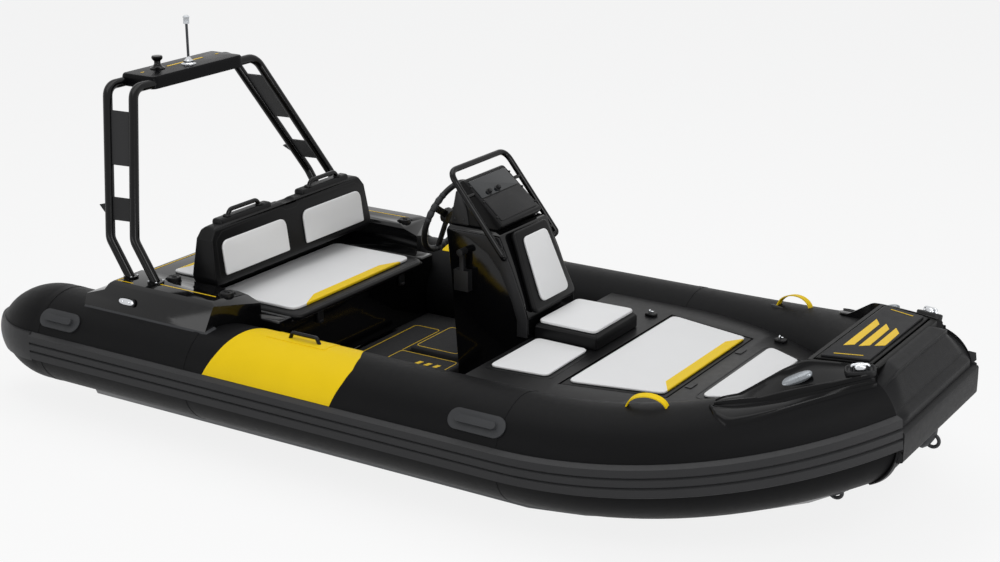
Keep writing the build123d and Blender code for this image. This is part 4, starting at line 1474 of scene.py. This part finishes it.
# ---------------------------------------------------------------- bow
@dataclass
class Bow:
    """Moulding over the bow tube, with its lights, cleats and webbing handles.

    Each wing is a loft through stations. A station has an inner edge, an outer
    edge and a foot on the tube's skin; points between them are the straight
    line plus a height from a bead profile.
    """

    inner: tuple[Triple, ...] = (
        (1.360, 0.578, 0.572), (1.375, 0.532, 0.584), (1.440, 0.493, 0.624), (1.500, 0.456, 0.668),
        (1.555, 0.423, 0.708), (1.612, 0.356, 0.733), (1.700, 0.337, 0.735), (1.790, 0.316, 0.735),
        (1.850, 0.301, 0.734), (1.858, 0.297, 0.733))
    outer: tuple[Triple, ...] = (
        (1.364, 0.600, 0.575), (1.400, 0.580, 0.574), (1.450, 0.560, 0.595), (1.515, 0.538, 0.619),
        (1.575, 0.512, 0.638), (1.645, 0.478, 0.661), (1.735, 0.432, 0.687), (1.795, 0.400, 0.707),
        (1.855, 0.356, 0.722), (1.864, 0.346, 0.722))
    foot: tuple[Triple, ...] = (
        (1.354, 0.614, 0.576), (1.398, 0.656, 0.560), (1.452, 0.674, 0.548), (1.512, 0.639, 0.563),
        (1.575, 0.594, 0.582), (1.650, 0.535, 0.611), (1.740, 0.464, 0.641), (1.805, 0.411, 0.663),
        (1.865, 0.366, 0.681), (1.880, 0.352, 0.672))
    plate: tuple[tuple[float, float], ...] = (
        (0.0, -0.006), (0.0, 0.003), (0.05, 0.0055), (0.11, 0.004), (0.15, 0.0), (0.35, 0.002), (0.60, 0.002),
        (0.84, 0.0), (0.89, 0.0045), (0.95, 0.0055), (1.0, 0.003))
    flange: tuple[tuple[float, float], ...] = (
        (0.03, -0.003), (0.06, -0.010), (0.12, -0.011), (0.15, -0.004), (0.20, -0.001), (0.25, -0.003),
        (0.28, -0.010), (0.34, -0.011), (0.37, -0.003), (0.50, -0.001), (0.70, -0.001), (0.76, -0.002),
        (0.80, 0.005), (0.88, 0.0075), (0.96, 0.0055), (1.02, -0.004), (1.04, -0.016))
    deck: float = 0.735
    nose: tuple[float, float] = (1.773, 0.490)
    corner: float = 0.2955
    mitre: float = radians(23.3)
    thick: float = 0.016
    light: tuple[Triple, ...] = ((1.606, 0.444, 0.684), (0.86, -0.40, 0.32), (-0.26, 0.50, 0.83))
    cleat: tuple[Triple, ...] = ((1.812, 0.350, 0.7300), (0.90, -0.44, 0.0), (0.05, 0.30, 0.95))
    strap: tuple[Triple, ...] = ((1.052, 0.664, 0.527), (1.206, 0.640, 0.539))
    strap_lean: Triple = (0.0, 0.12, 0.99)

    @staticmethod
    def spread(table: tuple[Triple, ...], count: int = 97) -> Array:
        """Stations between the given ones, softened by a moving mean of seven.

        Args:
            table: points, one a station.
            count: how many stations to return.

        Returns:
            Points shaped (count, 3).
        """
        padded = np.pad(along_table(np.array(table), count), ((3, 3), (0, 0)), "edge")
        return np.stack([padded[i:i + count] for i in range(7)]).mean(0)

    def skin_height(self, spots: Array, batch: int = 256) -> Array:
        """Height of the tubes' skin under plan points, from the nearest of many skin points.

        Each height is carried to its spot along the tangent plane. The bend
        counts outside the mitre plane, and inside it the bow tube does, with
        z = z0 + sqrt(r^2 - (x - x0)^2).

        Args:
            spots: points whose first two columns are x and y.
            batch: how many are worked out at once.

        Returns:
            One height a point.
        """
        tubes = Tubes()
        s, turn = np.meshgrid(np.linspace(1.25, 2.02, 150), np.radians(np.linspace(0, 180, 121)))
        cloud = tubes.skin_at(1, s, turn, 0.0).reshape(-1, 3)
        normal = cloud - tubes.skin_at(1, s, turn, -tubes.radius).reshape(-1, 3)
        height = np.empty(len(spots))
        for first in range(0, len(spots), batch):
            near = spots[first:first + batch]
            gap = ((near[:, None, :2] - cloud[None, :, :2]) ** 2).sum(-1)
            best = gap.argmin(1)
            n, away = normal[best], near[:, :2] - cloud[best, :2]
            slope = (n[:, :2] * away).sum(1) / np.clip(n[:, 2], 0.02, None)
            height[first:first + batch] = cloud[best, 2] - slope
        ahead, across = spots[:, 0] - self.nose[0], spots[:, 1] - self.corner
        front = self.nose[1] + np.sqrt(np.clip(tubes.radius ** 2 - ahead ** 2, 0, None))
        beyond = across * np.cos(self.mitre) < ahead * np.sin(self.mitre)
        return np.where(beyond & (spots[:, 0] > self.nose[0] - 0.05), front, height)

    def wing(self) -> Surface:
        """Port side of the moulding, from its tip to the bow's corner."""
        inner, outer, foot = (self.spread(t) for t in (self.inner, self.outer, self.foot))
        rows = [(inner + (outer - inner) * t, h) for t, h in self.plate]
        rows += [(outer + (foot - outer) * t, h) for t, h in self.flange]
        grid = np.stack([line for line, _ in rows], axis=1)
        lift = np.array([h for _, h in rows])
        ground = self.skin_height(grid.reshape(-1, 3)).reshape(grid.shape[:2])
        grid[..., 2] = np.maximum(grid[..., 2], ground + 0.006) + lift[None, :]
        grid[:, -2:, 2] = ground[:, -2:] - np.array([0.002, 0.012])
        base, under = inner.copy(), grid[:, -1].copy()
        base[:, 2] = np.interp(base[:, 0], [1.36, 1.61, 1.62, 1.97], [0.476, 0.476, 0.60, 0.56])
        under[:, 1:] -= np.array([0.03, 0.05])
        return skin(np.concatenate([base[:, None], grid, under[:, None]], axis=1))

    def centre(self) -> Surface:
        """Middle of the moulding with the hatch's tray; its height and width are read along x."""
        x = np.array([1.612, 1.6275, 1.6285, 1.70, 1.78, 1.8375, 1.8385, 1.848, 1.856, 1.860])
        top = np.interp(x, [1.848, 1.856, 1.860], [self.deck, 0.7335, 0.730])
        half = np.interp(x, [1.612, 1.70, 1.79, 1.86], [0.3565, 0.3375, 0.3165, 0.2985])
        tray = np.interp(x, [1.628, 1.838], [0.345, 0.292])
        sunk = (x > 1.628) & (x < 1.838)
        floor = np.where(sunk, 0.7185, top)
        tray = np.where(sunk, tray, tray - 0.001)
        low = np.full(len(x), 0.560)
        port = [(tray / 2, floor), (tray - 0.0004, floor), (tray, top), (half - 0.004, top),
                (half, top - 0.004), (half, low)]
        starboard = [(-y, z) for y, z in reversed(port)]
        columns = starboard + [(0 * x, floor)] + port + [(0 * x, low)]
        return skin(np.stack([np.stack([x, y, z], axis=1) for y, z in columns], axis=1))

    def apron(self) -> Surface:
        """Fabric apron from the moulding down to the strake, with two soft creases.

        Height along x is the given profile; over the last 135 to 60 mm of width
        it sinks to the skin by g = 0.5 (1 + cos(pi k)), k rising to 1 at the mitre.
        """
        profile = np.array([
            (1.846, 0.7330), (1.868, 0.7315), (1.884, 0.7270), (1.899, 0.7220), (1.915, 0.7180),
            (1.9140, 0.7080), (1.911, 0.6960), (1.926, 0.6740), (1.941, 0.6510), (1.953, 0.6290),
            (1.960, 0.6130), (1.9615, 0.6065), (1.972, 0.6015), (1.984, 0.5950), (1.989, 0.5870),
            (1.9895, 0.5760), (1.988, 0.5640), (1.987, 0.5560), (1.986, 0.5450)])
        line = along_table(profile, 85)
        edge = (self.corner + (line[:, 0] - self.nose[0]) * np.tan(self.mitre) + 0.004)[:, None]
        y = edge * np.linspace(-1, 1, 61)[None, :]
        fade = np.linspace(0.135, 0.060, len(line))[:, None]
        k = np.clip((np.abs(y) - edge + fade) / fade, 0, 1)
        g = 0.5 * (1 + np.cos(np.pi * k))
        out = unit(line - np.array(self.nose))
        onto = np.array(self.nose) + out * (Tubes().radius + 0.0012)
        place = onto[:, None] + (line - onto)[:, None] * g[..., None]
        outer = np.stack([place[..., 0], y, place[..., 1]], axis=-1)
        down = out * self.thick
        return slab(outer, outer - np.insert(down, 1, 0.0, axis=1)[:, None])

    def cover(self) -> Surface:
        """Smooth band over the front strake, its section carried from mitre to mitre.

        Half a section is given, ahead of and above the bow tube's middle, and
        the other half is its mirror image below.
        """
        outside = [(0.204, 0.0655), (0.2075, 0.0660), (0.220, 0.0605), (0.2295, 0.0560), (0.2325, 0.0500),
                   (0.2330, 0.0200)]
        inside = [(0.203, 0.0641), (0.2063, 0.0641), (0.218, 0.0590), (0.2275, 0.0540), (0.2292, 0.0490),
                  (0.2292, 0.0200)]
        v = np.linspace(-1, 1, 25)[None, :]
        sheets = []
        for half in (outside, inside):
            ahead, up = (line[:, None] for line in np.array(mirrored(half)).T)
            edge = self.corner + ahead * np.tan(self.mitre) - 0.0008
            x, z = self.nose[0] + ahead + 0 * v, self.nose[1] + up + 0 * v
            sheets.append(np.stack([x, edge * v, z], axis=-1))
        return slab(*sheets)

    def eyes(self) -> Surface:
        """Domed patches behind the towing rings."""
        profile = [(0, -0.012), (0.047, -0.012), (0.049, 0.004), (0.045, 0.013), (0.030, 0.021),
                   (0.014, 0.025), (0, 0.026)]
        spots = [((1.956, 0.0, 0.383), (0.864, 0.0, -0.504))]
        spots += [((1.733, side * 0.328, 0.255), (0.19, -side * 0.17, -0.967)) for side in (-1, 1)]
        return join([lathe(profile, seat_at(spot, (0.1, 1, 0), out), 36) for spot, out in spots])

    def seams(self) -> Surface:
        """Tapes over the two mitres of the bow tube, in the mitre's plane."""
        parts = []
        turn = np.radians(np.linspace(-62, 84, 40))
        reach = Tubes().radius + 0.0004
        across = reach * np.cos(turn) / np.cos(self.mitre)
        for side in (-1, 1):
            path = np.stack([self.nose[0] + across * np.cos(self.mitre),
                             side * (self.corner + across * np.sin(self.mitre)),
                             self.nose[1] + reach * np.sin(turn)], axis=1)
            up = np.stack([np.cos(turn) * np.cos(self.mitre), side * np.cos(turn) * np.sin(self.mitre),
                           np.sin(turn)], axis=1)
            parts.append(ribbon(path - up * 0.002, 0.016, 0.0045, up))
        return join(parts)

    def lights(self) -> Surface:
        """Oval domed lights on the wings."""
        return join([pillow_box((0.136, 0.044, 0.030), seat_on(side, *self.light), 2.5, 17)
                     for side in (-1, 1)])

    def cleats(self) -> list[Piece]:
        """Bright pop-up horns and dark oval seats of both cleats."""
        seats, horns = [], []
        levels = [(0.0, -0.012), (0.0, 0.006), (0.002, 0.0095), (0.006, 0.0105), (0.009, 0.0085),
                  (0.012, 0.0050), (0.024, 0.0046)]
        arch = bent_path([(-0.030, 0, 0.004), (-0.030, 0, 0.0255), (0.030, 0, 0.0255),
                          (0.030, 0, 0.004)], 0.009)
        for side in (-1, 1):
            spot = seat_on(side, *self.cleat)
            seats.append(raised(box(-0.056, -0.026, 0.056, 0.026), 0.0255, levels, spot))
            horns += [pillow_box((0.044, 0.032, 0.030), spot @ offset(0, 0, 0.014), 3.2),
                      placed(tube_along(arch, 0.0055), spot)]
        return [Piece("cleat_horns", Look.STEEL, join(horns), "bright_steel", "cleats"),
                Piece("cleat_seats", Look.PLASTIC, join(seats), "cap_plastic")]

    def straps(self) -> list[Piece]:
        """Webbing handles arched as a half ellipse, and the patches they are sewn to."""
        loops, pads = [], []
        t = np.linspace(-0.06, 1.06, 41)[:, None]
        rise = np.sqrt(np.clip(1 - (2 * np.clip(t, 0, 1) - 1) ** 2, 0, 1)) ** 0.9
        levels = [(0.0, -0.020), (0.0, 0.0015), (0.002, 0.003), (0.006, 0.0034)]
        for side in (-1, 1):
            first, last, lean = np.array([*self.strap, self.strap_lean]) * (1, side, 1)
            path = first + (last - first) * t + lean * 0.062 * rise
            up = unit(np.cross(np.cross(last - first, lean), np.gradient(path, axis=0)))
            loops.append(ribbon(path, 0.030, 0.0045, up))
            middle = (first + last) / 2 + np.array([0, 0, -0.004])
            spot = seat_at(middle, last - first, (0.10, side * 0.28, 0.95))
            pads.append(raised(box(-0.105, -0.040, 0.105, 0.040), 0.030, levels, spot))
        return [Piece("strap_loops", Look.YELLOW, join(loops), "yellow_strap", "strap_handles"),
                Piece("strap_pads", Look.RUBBER, join(pads), "trim_rubber")]

    def make(self) -> None:
        """Build the bow."""
        port, faces = self.wing()
        wings = {"starboard": port * np.array([1.0, -1.0, 1.0]), "port": port}
        make_all([
            # Apron and strake cover take the lighter nose cloth: painted light from the front on the nose.
            Piece("bow_apron", Look.NOSE_PAINTED_LIGHT, self.apron(), "tube_fabric", "bow_moulding"),
            Piece("bow_cover", Look.NOSE_PAINTED_LIGHT, self.cover(), "strake_rubber"),
            # The mitre tapes take the lighter panel grey as a painted highlight along the seams; the real
            # tape is the tube's dark cloth.
            Piece("bow_mitre_tapes", Look.PANEL, self.seams(), "tube_fabric"),
            Piece("eye_patches", Look.RUBBER, self.eyes(), "trim_rubber"),
            Piece("bow_centre", Look.SEAL, self.centre(), "moulding_black", "bow_moulding"),
            *(Piece(f"bow_wing_{word}", Look.WING, (points, faces), "moulding_black", "bow_moulding")
              for word, points in wings.items()),
            Piece("light_domes", Look.DOME, self.lights(), "bright_steel", "nav_lights"),
            *self.cleats(),
            *self.straps(),
        ])


# ---------------------------------------------------------------- studio
@dataclass
class Studio:
    """Pale floor at the waterline, soft lamps and the camera."""

    eye: Triple = (3.96572, -6.05927, 3.03794)
    yaw: float = radians(122.678)
    pitch: float = radians(18.260)
    roll: float = radians(-0.2756)
    lens: float = 65.207
    sensor: float = 36.0
    far: float = 200.0
    sky: float = 0.42
    sky_colour: tuple[float, ...] = (0.96, 0.975, 1.0, 1.0)
    white: tuple[float, ...] = (1.0, 1.0, 1.0, 1.0)
    ground: tuple[float, ...] = (0.80, 0.80, 0.80, 1.0)
    glow: float = 0.84
    reach: float = 60.0

    def camera(self) -> None:
        """Place the camera."""
        forward = Vector((np.cos(self.yaw) * np.cos(self.pitch), np.sin(self.yaw) * np.cos(self.pitch),
                          -np.sin(self.pitch)))
        right = forward.cross(Vector((0, 0, 1))).normalized()
        up = right.cross(forward)
        across = np.cos(self.roll) * right + np.sin(self.roll) * up
        above = -np.sin(self.roll) * right + np.cos(self.roll) * up
        data = bpy.data.cameras.new("studio_camera")
        data.lens, data.sensor_width, data.sensor_fit = self.lens, self.sensor, "HORIZONTAL"
        data.clip_end = self.far
        camera = added("studio_camera", data)
        turn = Matrix((across, above, -forward)).transposed()
        camera.matrix_world = Matrix.Translation(self.eye) @ turn.to_4x4()
        bpy.context.scene.camera = camera

    def world(self) -> None:
        """Light the scene from all round, with a white backdrop for straight rays."""
        world = bpy.data.worlds.new("studio_world")
        world.use_nodes = True
        world.node_tree.nodes.clear()
        nodes = Nodes(world.node_tree)
        nodes.finish("World", nodes.seen(), nodes.add("Background", Color=self.sky_colour, Strength=self.sky),
                     nodes.add("Background", Color=self.white))
        bpy.context.scene.world = world

    def floor(self) -> None:
        """Wide floor at z = 0 whose light part keeps the shadow."""
        mesh = bpy.data.meshes.new("studio_floor")
        corners = [(x, y, 0) for x, y in box(-self.reach, -self.reach, self.reach, self.reach)]
        mesh.from_pydata(corners, [], [(0, 1, 2, 3)])
        material = bpy.data.materials.new("studio_floor")
        material.use_nodes = True
        material.node_tree.nodes.clear()
        nodes = Nodes(material.node_tree)
        nodes.finish("Material", nodes.math("MULTIPLY", nodes.seen(), self.glow),
                     nodes.add("BsdfDiffuse", Color=self.ground), nodes.add("Emission", Strength=1.0))
        mesh.materials.append(material)
        floor = added("studio_floor", mesh)

    @staticmethod
    def lamp(name: str, spot: Triple, aim: Triple, size: tuple[float, float], power: float) -> None:
        """Add one rectangular soft lamp.

        Args:
            name: its name.
            spot: where it hangs.
            aim: the point it faces.
            size: its width and height.
            power: in watts.
        """
        data = bpy.data.lights.new(name, "AREA")
        data.shape, data.size, data.size_y, data.energy = "RECTANGLE", size[0], size[1], power
        lamp = added(name, data)
        lamp.location = spot
        lamp.rotation_euler = (Vector(aim) - Vector(spot)).to_track_quat("-Z", "Y").to_euler()

    def make(self) -> None:
        """Set camera, floor, light and colour view."""
        self.camera()
        self.floor()
        self.world()
        self.lamp("over_lamp", (-1.0, 0.3, 6.5), (-0.2, 0, 0.4), (7.0, 4.0), 160)
        self.lamp("bow_lamp", (4.6, -3.4, 5.0), (1.2, -0.2, 0.5), (2.4, 2.4), 115)
        self.lamp("nose_lamp", (6.4, -1.6, 1.0), (1.8, 0, 0.4), (2.4, 1.2), 75)
        self.lamp("side_lamp", (-2.5, -7.0, 3.0), (-0.4, 0, 0.5), (5.0, 1.6), 60)
        bpy.context.scene.view_settings.view_transform = "Standard"


def main(frame: dict) -> None:
    """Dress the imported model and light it.
    """
    logging.basicConfig(level=logging.INFO, format="%(name)s: %(message)s")
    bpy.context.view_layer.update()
    Studio().make()
    slots = {row["node"]: row["material_slot"] for row in frame["record"]["subparts"]}
    homes = {n: body for body, names in frame["record"]["behaviour"]["bodies"].items() for n in names}
    dress_nodes(frame["nodes"], slots)
    for name, width in SOFT_EDGES.items():
        softened(frame["nodes"][name], homes[name], width)
        LOG.info("rounded %s", name)
    for part in (Tubes(), Upholstery(), Stern(), Arch(), Helm(), Deck(), Bow()):
        LOG.info("building %s", type(part).__name__)
        part.make()


if __name__ == "__main__":
    main(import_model())
